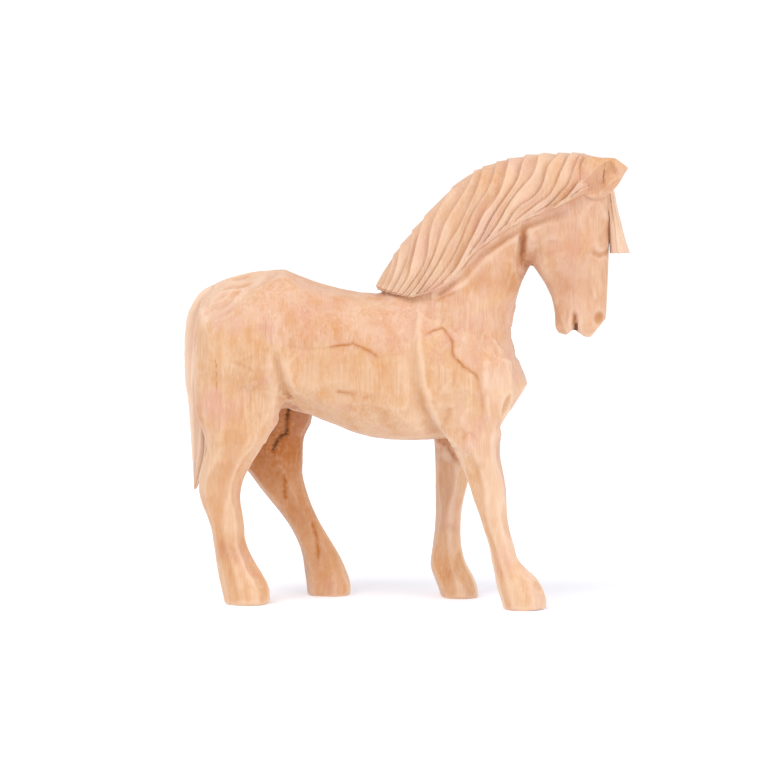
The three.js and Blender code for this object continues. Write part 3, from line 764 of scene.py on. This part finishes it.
def locks_tree():
    """Gouges a sheet or a strand into locks: hollow channels that meet in sharp ridges."""
    tree = bpy.data.node_groups.new("carved locks", "GeometryNodeTree")
    tree.interface.new_socket("Geometry", in_out="INPUT", socket_type="NodeSocketGeometry")
    for name, kind, value in LOCK_INPUTS:
        socket = tree.interface.new_socket(name, in_out="INPUT", socket_type=kind)
        if value is not None:
            socket.default_value = value
    tree.interface.new_socket("Geometry", in_out="OUTPUT", socket_type="NodeSocketGeometry")
    given = add(tree, "NodeGroupInput").outputs

    def reckon(what, *values, **kinds):
        return add(tree, "ShaderNodeMath", dict(enumerate(values)), operation=what, **kinds).outputs[0]

    def times(*values, **kinds):
        return reckon("MULTIPLY", *values, **kinds)

    def plus(first, second):
        return reckon("ADD", first, second)

    def less(first, second):
        return reckon("SUBTRACT", first, second)

    def reading(name):
        made = add(tree, "GeometryNodeInputNamedAttribute", {"Name": name}, data_type="FLOAT")
        return made.outputs["Attribute"]

    across = reading("across")
    along = reading("along")
    cover = reading("cover")
    lean = times(reckon("POWER", along, given["Hook"]), given["Sweep"])
    spot = add(tree, "ShaderNodeCombineXYZ", {0: times(across, 9.0), 1: times(along, 1.6), 2: given["Seed"]})
    noise = add(tree, "ShaderNodeTexNoise", {"Vector": spot.outputs[0], "Scale": 1.0, "Detail": 1.0})
    aside = times(less(noise.outputs[0], 0.5), given["Wander"])
    row = plus(plus(across, lean), aside)
    phase = times(row, given["Locks"])
    lock = reckon("FLOOR", phase)
    within = reckon("FRACT", phase)
    dice = add(tree, "ShaderNodeTexWhiteNoise", {"W": plus(lock, given["Seed"])}, noise_dimensions="1D")
    luck = dice.outputs["Value"]

    def shingle(share, bend):
        """0 on a lock's upper edge, sinking slowly to its far side, and up again by the next lock's wall."""
        sinking = reckon("POWER", share, bend)
        wall = times(less(1.0, share), given["Wall"])
        return reckon("SMOOTH_MIN", sinking, wall, 0.12)

    main = shingle(within, plus(0.65, times(luck, 0.5)))
    # a second, shorter lock lies on the wider ones, from some way down
    start = times(luck, 0.5)
    split = times(reckon("GREATER_THAN", luck, 0.3), times(less(along, start), 4.0), use_clamp=True)
    second = shingle(reckon("FRACT", plus(within, plus(0.40, times(luck, 0.2)))), 1.0)
    raised = times(times(less(1.0, second), split), 0.5)
    floor = reckon("MAXIMUM", times(main, less(1.0, raised)), 0.0)
    depth = times(times(floor, given["Depth"]), plus(0.7, times(luck, 0.45)))
    depth = times(times(depth, cover), -1.0)
    normal = add(tree, "GeometryNodeInputNormal")
    inward = add(tree, "ShaderNodeVectorMath", {0: normal.outputs[0], "Scale": depth}, operation="SCALE")
    moved = add(tree, "GeometryNodeSetPosition", {"Geometry": given["Geometry"], "Offset": inward.outputs[0]})
    marked = moved
    # painted shade in the channels and a painted highlight on the ridges, stored as the hollow reading
    for name, value in (("hollow", times(less(times(floor, 1.5), 0.85), times(cover, given["Grime"]))),
                        # each lock's own tone, plus painted light over the whole piece
                        ("tone", plus(less(times(luck, 0.8), 0.4), given["Pale"]))):
        put = {"Geometry": marked.outputs[0], "Name": name, "Value": value}
        marked = add(tree, "GeometryNodeStoreNamedAttribute", put, data_type="FLOAT", domain="POINT")
    real = add(tree, "GeometryNodeRealizeInstances", {"Geometry": marked.outputs[0]})
    dressed = add(tree, "GeometryNodeSetMaterial", {"Geometry": real.outputs[0], "Material": given["Material"]})
    add(tree, "NodeGroupOutput", {"Geometry": dressed.outputs[0]})
    return tree


def into_locks(made, **sizes):
    """Runs the locks tree on an object and keeps the result as its plain mesh."""
    tree = bpy.data.node_groups.get("carved locks") or locks_tree()
    modifier = made.modifiers.new("locks", "NODES")
    modifier.node_group = tree
    for item in tree.interface.items_tree:
        if item.in_out == "INPUT" and item.name in sizes:
            modifier[item.identifier] = sizes[item.name]
    made.update_tag()
    carved = evaluated_mesh(made)
    made.modifiers.clear()
    made.data = carved


# ---- the wood


def paint(code):
    """An sRGB hex colour as linear red, green, blue and alpha."""
    parts = [int(code[k:k + 2], 16) / 255 for k in (1, 3, 5)]
    return [c / 12.92 if c <= 0.04045 else ((c + 0.055) / 1.055) ** 2.4 for c in parts] + [1.0]


def whittled_alder():
    """Bare alder, knife-cut and left unfinished: pale, a little pink, dull, with fine upright grain that shows
    as short streaks, pinker heartwood, honey-coloured flecks, and brown veins where the blank was flawed.
    Painted shade darkens its hollows and creases, a painted highlight pales its ridges, and painted light
    and shade lie over whole regions."""
    wood = bpy.data.materials.new("whittled_alder")
    wood.use_nodes = True
    tree = wood.node_tree
    tree.nodes.clear()
    where = add(tree, "ShaderNodeTexCoord").outputs["Object"]

    def pattern(scale, detail=3.0, rough=0.55, shift=(0, 0, 0), distortion=0.0):
        """Noise whose grain is 1/scale mm long along each axis."""
        placed = add(tree, "ShaderNodeMapping", {"Vector": where, "Location": shift,
                                                 "Scale": [s / MM for s in scale]})
        noise = add(tree, "ShaderNodeTexNoise", {"Vector": placed.outputs[0], "Scale": 1.0, "Detail": detail,
                                                 "Roughness": rough, "Distortion": distortion})
        return noise.outputs[0]

    def spread(value, low, high, to_low=0.0, to_high=1.0):
        made = add(tree, "ShaderNodeMapRange", {"Value": value, "From Min": low, "From Max": high,
                                                "To Min": to_low, "To Max": to_high})
        return made.outputs[0]

    def mix(share, first, second):
        """The first colour, covered by that share of the second: hex codes, or sockets that give a colour."""
        first, second = (paint(c) if isinstance(c, str) else c for c in (first, second))
        return add(tree, "ShaderNodeMix", {0: share, 6: first, 7: second}, data_type="RGBA").outputs[2]

    def reading(name):
        return add(tree, "ShaderNodeAttribute", attribute_name=name).outputs["Fac"]

    def times(first, second):
        return add(tree, "ShaderNodeMath", {0: first, 1: second}, operation="MULTIPLY").outputs[0]

    clouds = spread(pattern((0.045, 0.045, 0.055), 2.0), 0.38, 0.62)
    tan_wood = mix(clouds, "#D3A883", "#D9B18E")
    pink_wood = mix(clouds, "#D2A48A", "#D7AD95")
    colour = mix(reading("heart"), tan_wood, pink_wood)
    # broad upright bands, 6 to 10 mm wide, where growth rings meet the surface at a flat angle
    bands = spread(pattern((0.13, 0.13, 0.012), 2.0, distortion=0.3), 0.35, 0.65, 0.0, 0.5)
    colour = mix(bands, colour, "#DCB996")
    # honey flecks, 3 to 8 mm across
    flecks = spread(pattern((0.17, 0.17, 0.09), 5.0, 0.70, (3, 1, 7)), 0.44, 0.76, 0.0, 0.85)
    colour = mix(flecks, colour, "#CB8A49")
    rosy = spread(pattern((0.09, 0.09, 0.07), 3.0, 0.6, (8, 2, 4)), 0.52, 0.70, 0.0, 0.7)
    colour = mix(rosy, colour, "#D09A85")
    # fine streaks: real vessels are about 0.1 mm wide, too fine to show, so they are 0.7 mm wide, 14 mm long
    streaks = pattern((1.5, 1.5, 0.07), 3.0, 0.6)
    grainy = spread(pattern((0.10, 0.10, 0.05), 2.0, 0.5, (2, 9, 3)), 0.35, 0.65, 0.12, 0.5)
    colour = mix(times(spread(streaks, 0.42, 0.70), grainy), colour, "#BC8051")
    pale_streaks = spread(pattern((2.6, 2.6, 0.16), 2.0, 0.5, (1, 5, 2)), 0.58, 0.72, 0.0, 0.45)
    colour = mix(pale_streaks, colour, "#E3C4A7")
    # painted shade darkens the hollows, and a painted highlight pales the ridges
    hollow = reading("hollow")
    colour = mix(spread(hollow, 0.1, 1.0, 0.0, 0.30), colour, "#BB7F55")
    colour = mix(spread(hollow, -0.15, -1.0, 0.0, 0.50), colour, "#E5C6AA")
    # each cut meets the grain at its own angle and is paler or darker for it, plus painted light and shade
    tone = reading("tone")
    colour = mix(spread(tone, 0.0, 1.5, 0.0, 0.60), colour, "#EED6C0")
    colour = mix(spread(tone, 0.0, -1.5, 0.0, 0.45), colour, "#BE7F4E")
    # veins, and painted shade in creases, slits and between the legs, then bark in the deepest
    broken = spread(pattern((0.7, 0.7, 0.5), 3.0), 0.3, 0.6, 0.55, 1.0)
    stain_and_shade = reading("stain_and_shade")
    colour = mix(times(spread(stain_and_shade, 0.05, 0.6), broken), colour, "#AC6112")
    colour = mix(times(spread(stain_and_shade, 0.62, 1.0), broken), colour, "#40240F")

    ripple = add(tree, "ShaderNodeMath", {0: streaks, 1: times(pattern((0.5, 0.5, 0.3), 3.0), 0.6)},
                 operation="ADD")
    bump = add(tree, "ShaderNodeBump", {"Height": ripple.outputs[0], "Strength": 0.22, "Distance": 0.25 * MM})
    surface = add(tree, "ShaderNodeBsdfPrincipled",
                  {"Base Color": colour, "Roughness": spread(streaks, 0.3, 0.7, 0.50, 0.66),
                   "Normal": bump.outputs[0], "IOR": 1.45, "Specular IOR Level": 0.35,
                   # loose fibres of unsanded wood catch light along every edge
                   "Sheen Weight": 0.22, "Sheen Roughness": 0.5, "Sheen Tint": paint("#FFF6EC")})
    add(tree, "ShaderNodeOutputMaterial", {"Surface": surface.outputs[0]})
    return wood


WOOD = whittled_alder()

# ---- parting the skin into pieces


def set_reading(data, name, values):
    """Stores one number for each point of a mesh."""
    layer = data.attributes.get(name) or data.attributes.new(name, "FLOAT", "POINT")
    layer.data.foreach_set("value", np.asarray(values, np.float32))


def settle(piece, node):
    """Gives a finished piece its wood, hangs it on the root body, and hides the CAD node that it stands for."""
    if not piece.data.materials:
        piece.data.materials.append(WOOD)
    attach(piece, "root")
    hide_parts(node)


LOOKS = ("look_x", "look_y", "look_z")    # the way that the whole skin faces at a point


def part(name, planes, mine=None):
    """The skin, or the points of it in mine, as far as every plane (normal, level), and closed flat there."""
    keep = np.ones(len(skin.points), bool) if mine is None else mine
    for normal, level in planes:
        keep = keep & (skin.points @ np.array(normal) < level + 2)
    faces = skin.quads[keep[skin.quads].all(1)]
    renumber = np.cumsum(keep) - 1
    start = new_mesh(name, skin.points[keep], renumber[faces])
    readings = {"stain_and_shade": stain_and_shade, "heart": heart, "hollow": hollow, "tone": tone}
    readings.update(zip(LOOKS, skin_looks.T))
    for reading, values in readings.items():
        set_reading(start.data, reading, values[keep])
    start.data.polygons.foreach_set("use_smooth", np.ones(len(faces), bool))
    work = bmesh.new()
    work.from_mesh(start.data)
    bpy.data.objects.remove(start)
    for normal, level in planes:
        shape = work.verts[:] + work.edges[:] + work.faces[:]
        done = bmesh.ops.bisect_plane(work, geom=shape, dist=1e-7, plane_co=Vector(normal) * level * MM,
                                      plane_no=Vector(normal), clear_outer=True)
        rim = [e for e in done["geom_cut"] if isinstance(e, bmesh.types.BMEdge)]
        lids = bmesh.ops.triangle_fill(work, use_beauty=True, use_dissolve=False, edges=rim,
                                       normal=Vector(normal))
        for lid in lids["geom"]:
            if isinstance(lid, bmesh.types.BMFace):
                lid.smooth = False
    data = bpy.data.meshes.new(name)
    work.to_mesh(data)
    work.free()
    # the surface is shaded as the whole skin was, so that a glue line doesn't show as a crease
    looks = np.zeros((len(data.vertices), 3), np.float32)
    for axis, reading in enumerate(LOOKS):
        values = np.zeros(len(data.vertices), np.float32)
        data.attributes[reading].data.foreach_get("value", values)
        looks[:, axis] = values
        data.attributes.remove(data.attributes[reading])
    looks /= np.linalg.norm(looks, axis=1, keepdims=True) + 1e-9
    corners = np.zeros(len(data.loops), np.int32)
    data.loops.foreach_get("vertex_index", corners)
    corner_looks = looks[corners]
    for face in data.polygons:
        if not face.use_smooth:
            corner_looks[face.loop_start:face.loop_start + face.loop_total] = face.normal
    data.normals_split_custom_set(corner_looks.tolist())
    piece = bpy.data.objects.new(name, data)
    bpy.context.scene.collection.objects.link(piece)
    return piece


def other_way(plane):
    normal, level = plane
    return -np.array(normal), -level


skin_looks = skin.facing()
leg_plane, neck_plane, head_plane = (joint_planes[node] for node in (LEG_NODES[0], "neck", "head"))
settle(part("wood_trunk", [leg_plane, neck_plane]), "trunk")
settle(part("wood_neck", [other_way(neck_plane), head_plane]), "neck")
settle(part("wood_head", [other_way(neck_plane), other_way(head_plane)]), "head")
x, y, z = skin.points.T
for leg in LEG_NODES:
    half = RIGHT if leg.startswith("right") else LEFT
    hind = "hind" in leg
    settle(part("wood_" + leg, [other_way(leg_plane)], (y * half > 0) & ((x < MIDDLE) == hind)), leg)
skin_tree = BVHTree.FromPolygons(skin.points.tolist(), skin.quads.tolist())

# ---- mane


def curve(stations, count):
    """Evenly spread places on a smooth line through the stations."""
    stations = np.array(stations, float)
    knots = np.concatenate([[0], np.cumsum(np.linalg.norm(np.diff(stations, axis=0), axis=1))])
    before = 2 * stations[0] - stations[1]
    after = 2 * stations[-1] - stations[-2]
    padded = np.vstack([before, stations, after])
    result = []
    for spot in np.linspace(0, knots[-1], count):
        k = min(int(np.searchsorted(knots, spot, side="right")) - 1, len(stations) - 2)
        t = (spot - knots[k]) / (knots[k + 1] - knots[k])
        a, b, c, d = padded[k:k + 4]
        result.append(0.5 * (2 * b + (c - a) * t + (2 * a - 5 * b + 4 * c - d) * t ** 2
                             + (3 * b - a - 3 * c + d) * t ** 3))
    return np.array(result)


FARTHEST_CREST = 24      # no part of the neck under the mane lies further than this from the mane's lower edge
HAIR_THICKNESS = 2.1


def hair_sheet():
    """The mane: a thick sheet over the crest from withers to poll, closed underneath."""
    rows, columns, under = 380, 190, 9
    crest = curve(places("mane", [
        (0.012, 0.054), (0.064, 0.221), (0.126, 0.381), (0.214, 0.552), (0.344, 0.756), (0.494, 0.916),
        (0.698, 1.004), (0.862, 1.019), (0.992, 1.024)]), rows)
    edge = curve(places("mane", [
        (0.194, 0.005), (0.315, 0.062), (0.401, 0.173), (0.482, 0.32), (0.592, 0.45), (0.69, 0.54),
        (0.831, 0.63), (0.924, 0.70), (0.99, 0.745)]), rows)
    mane_points, mane_faces = welded("mane")
    mane_tree = BVHTree.FromPolygons(mane_points.tolist(), mane_faces.tolist())
    few_rows, few_turns = rows // 4, columns // 3
    coarse, rooted = np.zeros((2, few_rows, few_turns))
    turns = np.linspace(-math.pi / 2, math.pi / 2, columns)
    ups = crest - edge
    heights = np.linalg.norm(ups, axis=1)
    ups /= heights[:, None]
    for a, i in enumerate(np.linspace(0, rows - 1, few_rows).round().astype(int)):
        foot = Vector((edge[i][0], 0, edge[i][1]))
        for b, turn in enumerate(np.linspace(-math.pi / 2, math.pi / 2, few_turns)):
            ray = Vector((ups[i][0] * math.cos(turn), math.sin(turn), ups[i][1] * math.cos(turn)))
            start = foot + ray * (heights[i] * 1.25 + 8)
            hit = mane_tree.ray_cast(start, -ray)[0]
            under_hair = skin_tree.ray_cast(start, -ray)[0]
            outer = (hit - foot).length if hit else 0
            inner = (under_hair - foot).length if under_hair else 0
            inner = inner if inner < FARTHEST_CREST else 0
            coarse[a, b] = max(outer, inner + HAIR_THICKNESS * 0.95) if inner else outer
            rooted[a, b] = inner - 0.6 if inner else coarse[a, b] - 4.0
    for _ in range(4):
        padded = np.pad(coarse, 1, mode="edge")
        coarse = (padded[:-2, 1:-1] + padded[2:, 1:-1] + padded[1:-1, :-2] + padded[1:-1, 2:] + 2 * coarse) / 6
    few = np.array([np.interp(np.linspace(0, few_turns - 1, columns), np.arange(few_turns), line)
                    for line in coarse])
    reach = np.array([np.interp(np.linspace(0, few_rows - 1, rows), np.arange(few_rows), line)
                      for line in few.T]).T
    # the crest itself lies where the measured crest line is
    miss = heights / reach[:, columns // 2] - 1
    reach *= 1 + miss[:, None] * np.cos(turns)[None, :] ** 2
    reach += (0.3 - 0.9 * bell(np.linspace(0, 1, rows) - 0.27, 0.2))[:, None]
    rays = np.stack([ups[:, :1] * np.cos(turns), np.tile(np.sin(turns), (rows, 1)), ups[:, 1:] * np.cos(turns)],
                    axis=2)
    along = np.abs(turns) / (math.pi / 2)
    lip = 0.7 * ease(along, 0.93, 1.0)
    row = np.linspace(0, 1, rows)
    blunt = 1.1 * (1 - ease(row, 0, 0.016)) + 1.2 * ease(row, 0.95, 1)
    feet = np.stack([edge[:, 0], np.zeros(rows), edge[:, 1]], axis=1)
    outer = feet[:, None, :] + rays * (reach - lip[None, :] - blunt[:, None])[:, :, None]
    picks = np.linspace(columns - 1, 0, under).round().astype(int)
    rows_of = np.linspace(0, few_rows - 1, rows).round().astype(int)
    turns_of = (picks * (few_turns - 1) / (columns - 1)).round().astype(int)
    roots = np.minimum(rooted[rows_of][:, turns_of], reach[:, picks] - HAIR_THICKNESS - 0.8)
    # at the poll the sheet's end sits deep in the head
    roots -= 7.0 * ease(row, 0.88, 0.95)[:, None]
    inner = feet[:, None, :] + rays[:, picks] * roots[:, :, None]
    rings = np.concatenate([outer, inner], axis=1)
    piece = ring_mesh("wood_mane", rings)
    # locks fall steeply down and back, in the same direction along the whole neck
    top = crest[:, 1].max()
    label = rings[:, :, 0] + 0.28 * (top - rings[:, :, 2])
    label += 0.9 * np.sin(rings[:, :, 2] * 0.21) + 0.7 * np.sin(rings[:, :, 0] * 0.23)
    across = (((label - label.min()) / (label.max() - label.min())) ** 0.8).ravel()
    row_share = np.repeat(row, columns + under)
    along_all = np.tile(np.concatenate([along, np.ones(under)]), rows)
    cover = np.tile(np.concatenate([1 - 0.85 * ease(along, 0.95, 1.0), np.zeros(under)]), rows)
    cover *= 0.28 + 0.72 * ease(along_all, 0.0, 0.2)
    cover *= (1 - 0.6 * ease(row_share, 0.93, 1.0)) * (0.35 + 0.65 * ease(row_share, 0.0, 0.03))
    return piece, across, along_all, cover


def smooth_sides(data):
    """Shades the sides of a piece as round, and its end caps as flat."""
    data.polygons.foreach_set("use_smooth", [len(face.vertices) == 4 for face in data.polygons])


def finish_locks(piece, node, readings, **sizes):
    """Gives a laid-on piece its readings, gouges the locks and settles it."""
    across, along, cover = readings
    for name, values in (("across", across), ("along", along), ("cover", cover)):
        set_reading(piece.data, name, values)
    turn_outward(piece.data)
    into_locks(piece, Material=WOOD, **sizes)
    smooth_sides(piece.data)
    set_reading(piece.data, "heart", np.full(len(piece.data.vertices), 0.6))
    set_reading(piece.data, "stain_and_shade", np.zeros(len(piece.data.vertices)))
    settle(piece, node)


mane, *readings = hair_sheet()
finish_locks(mane, "mane", readings, Locks=15.0, Sweep=0.13, Hook=3.0, Depth=2.3 * MM,
             Wander=0.12, Grime=0.9, Pale=0.3, Seed=4.0)

# ---- tail, forelock and ears


TAIL_WIDTHS = (3.0, 4.2, 5.0, 5.0, 4.6, 3.6, 2.4, 1.0)        # half widths, root to tip
FORELOCK_WIDTHS = (2.6, 3.8, 4.6, 5.2, 5.4, 5.3)
EAR_WIDTHS = (0.3, 0.8, 1, 0.95, 0.8, 0.55, 0.2)              # as shares of the ear's own


def strand(name, left, right, widths, rows, columns, power, y_centre=0.0):
    """A closed strand between two side-view outlines, with its half widths from root to tip, and where each
    point lies around and along it. Power 2 is an ellipse in section, and more is squarer."""
    left = curve(left, rows)
    right = curve(right, rows)
    turns = np.arange(columns) / columns * 2 * math.pi
    centre = (left + right) / 2
    half = (right - left) / 2
    share = np.linspace(0, 1, rows)
    widths = np.interp(share, np.linspace(0, 1, len(widths)), widths)
    cos = np.sign(np.cos(turns)) * np.abs(np.cos(turns)) ** (2 / power)
    sin = np.sign(np.sin(turns)) * np.abs(np.sin(turns)) ** (2 / power)
    rings = np.zeros((rows, columns, 3))
    rings[:, :, 0] = centre[:, None, 0] + half[:, None, 0] * cos
    rings[:, :, 2] = centre[:, None, 1] + half[:, None, 1] * cos
    rings[:, :, 1] = y_centre + widths[:, None] * sin
    return ring_mesh(name, rings), np.tile(turns / (2 * math.pi), rows), np.repeat(share, columns)


tail_left = places("tail", [
    (1.15, 1.02), (0.62, 0.985), (0.27, 0.92), (0.09, 0.87), (-0.02, 0.745), (0.0, 0.547), (0.11, 0.446),
    (0.18, 0.267), (0.26, 0.105), (0.33, 0.0)])
tail_right = places("tail", [
    (1.5, 0.97), (1.2, 0.94), (0.98, 0.89), (0.90, 0.80), (0.92, 0.70), (0.90, 0.55), (0.95, 0.40),
    (0.97, 0.20), (0.70, 0.077), (0.42, 0.0)])
tail, across, along = strand("wood_tail", tail_left, tail_right, TAIL_WIDTHS, 300, 120, power=2.6)
cover = ease(along, 0.03, 0.12) * (1 - 0.6 * ease(along, 0.9, 1))
finish_locks(tail, "tail", (across, along, cover), Locks=5.0, Sweep=0.16, Hook=1.3, Depth=1.5 * MM,
             Wander=0.05, Grime=0.3, Pale=1.7, Seed=9.0)

fore_left = places("forelock", [
    (-0.15, 0.93), (-0.05, 0.80), (0.0, 0.62), (0.06, 0.40), (0.10, 0.20), (0.13, 0.0)])
fore_right = places("forelock", [
    (0.25, 1.0), (0.34, 0.86), (0.47, 0.63), (0.62, 0.44), (0.79, 0.22), (1.0, 0.01)])
forelock, across, along = strand("wood_forelock", fore_left, fore_right, FORELOCK_WIDTHS, 130, 150, power=2.4)
cover = ease(along, 0.02, 0.2)
finish_locks(forelock, "forelock", (across, along, cover), Locks=9.0, Sweep=0.03, Hook=1.3,
             Depth=0.8 * MM, Wander=0.05, Grime=0.4, Pale=1.0, Seed=2.0)


def ear(node, side):
    """A pointed ear, laid forward, hollowed with the gouge on its outer face."""
    low, high = box(node)
    top = places(node, [
        (0.02, 0.66), (0.12, 0.92), (0.26, 1.03), (0.46, 1.0), (0.74, 0.98), (0.92, 0.84), (1.0, 0.77)])
    bottom = places(node, [
        (0.02, 0.50), (0.10, 0.17), (0.32, 0.0), (0.58, 0.10), (0.80, 0.34), (0.94, 0.62), (1.0, 0.72)])
    middle = (low[1] + high[1]) / 2
    thick = (high[1] - low[1]) / 2
    piece = strand("wood_" + node, bottom, top, [thick * s for s in EAR_WIDTHS], 110, 96, 2.2, middle)[0]
    points = points_of(piece.data)
    spine = places(node, [(0.30, 0.30), (0.45, 0.50), (0.62, 0.68), (0.80, 0.78)])
    signed, share = along_path(points[:, [0, 2]], spine)
    outer = ease((points[:, 1] - middle) * side, 0.2, 1.6)
    scoop = np.clip(1 - (signed / 3.1) ** 2, 0, 1) * (1 - ease(share, 0.8, 1.0) * 0.8)
    thickness = np.abs(points[:, 1] - middle)
    points[:, 1] -= side * outer * np.minimum(2.1 * scoop, 1.2 * thickness)
    slit_line = places(node, [(0.54, 0.74), (0.52, 0.55), (0.525, 0.36)])
    slit_signed, slit_share = along_path(points[:, [0, 2]], slit_line)
    slit = bell(slit_signed, 0.28) * ease(slit_share, 0, 0.1) * (1 - ease(slit_share, 0.9, 1)) * outer
    points[:, 1] -= side * 0.55 * slit
    piece.data.vertices.foreach_set("co", (points * MM).ravel())
    turn_outward(piece.data)
    smooth_sides(piece.data)
    # painted shade in the gouged hollow, and a painted highlight just outside its rim
    set_reading(piece.data, "hollow", outer * scoop * 0.4 - 0.5 * outer * bell(np.abs(signed) - 3.3, 0.5))
    set_reading(piece.data, "heart", np.full(len(points), 0.5))
    # painted shade along the slit and at its foot
    slit_foot_shade = bell(np.linalg.norm(points[:, [0, 2]] - places(node, [(0.52, 0.36)])[0], axis=1), 2.6)
    set_reading(piece.data, "stain_and_shade", np.maximum(0.26 * slit_foot_shade, 0.4 * slit) * outer)
    settle(piece, node)


ear("right_ear", RIGHT)
ear("left_ear", LEFT)

# ---- floor, light and camera

cad_low, cad_high = (Vector(c) for c in CAD_BOX)
size = cad_high - cad_low
FLOOR_REACH = 14.0       # in object lengths
ROOM_LIGHT = 0.78
reach = size.x / MM * FLOOR_REACH
level = cad_low.z / MM
floor = new_mesh("floor", [(-reach, -reach, level), (reach, -reach, level), (reach, reach, level),
                           (-reach, reach, level)], [(0, 1, 2, 3)])
paper = bpy.data.materials.new("matt_white_paper")
paper.use_nodes = True
# the studio's paper floor is lit from all sides, so it has a little light of its own
for socket, value in (("Base Color", paint("#EFF1F7")), ("Roughness", 0.9),
                      ("Emission Color", paint("#EEF1FF")), ("Emission Strength", 0.2)):
    paper.node_tree.nodes["Principled BSDF"].inputs[socket].default_value = value
floor.data.materials.append(paper)

# the room is pure white to look at, and lights the horse a little less than that
world = bpy.data.worlds.new("studio")
bpy.context.scene.world = world
world.use_nodes = True
world.node_tree.nodes.clear()
seen = add(world.node_tree, "ShaderNodeLightPath").outputs["Is Camera Ray"]
glow = add(world.node_tree, "ShaderNodeMapRange", {"Value": seen, "To Min": ROOM_LIGHT, "To Max": 1.05})
backdrop = add(world.node_tree, "ShaderNodeBackground", {"Color": (1.0, 1.0, 1.0, 1.0),
                                                         "Strength": glow.outputs[0]})
add(world.node_tree, "ShaderNodeOutputWorld", {"Surface": backdrop.outputs[0]})


def soft_sun(name, heading, strength, spread):
    """A broad, far studio light that shines one way, evenly over horse and floor. Its spread is in degrees."""
    lamp = bpy.data.lights.new(name, "SUN")
    lamp.energy = strength
    lamp.angle = math.radians(spread)
    made = bpy.data.objects.new(name, lamp)
    made.rotation_euler = Vector(heading).to_track_quat("-Z", "Y").to_euler()
    bpy.context.scene.collection.objects.link(made)


AIM_LENGTH, AIM_HEIGHT = 0.452, 0.49    # what the camera looks at, as shares of the CAD box
AIM = Vector((cad_low.x + AIM_LENGTH * size.x, (cad_low.y + cad_high.y) / 2, cad_low.z + AIM_HEIGHT * size.z))
soft_sun("key", heading=(0.38, 0.42, -0.82), strength=1.3, spread=32)
soft_sun("front_fill", heading=(-0.80, 0.56, -0.22), strength=1.15, spread=50)
bpy.context.scene.view_settings.view_transform = "Standard"
bpy.context.scene.view_settings.look = "None"

AZIMUTH, PITCH = math.radians(7.0), math.radians(4.16)    # from a little behind the side, and from above
DISTANCE = 0.9           # in metres
LENS = 126.56            # in mm, on a sensor 36 mm wide
toward = Vector((-math.sin(AZIMUTH) * math.cos(PITCH), math.cos(AZIMUTH) * math.cos(PITCH), -math.sin(PITCH)))
lens = bpy.data.cameras.new("camera")
lens.lens = LENS
lens.sensor_width = 36.0
lens.clip_end = 20.0
camera = bpy.data.objects.new("camera", lens)
camera.location = AIM - toward * DISTANCE
camera.rotation_euler = toward.to_track_quat("-Z", "Y").to_euler()
bpy.context.scene.collection.objects.link(camera)
bpy.context.scene.camera = camera
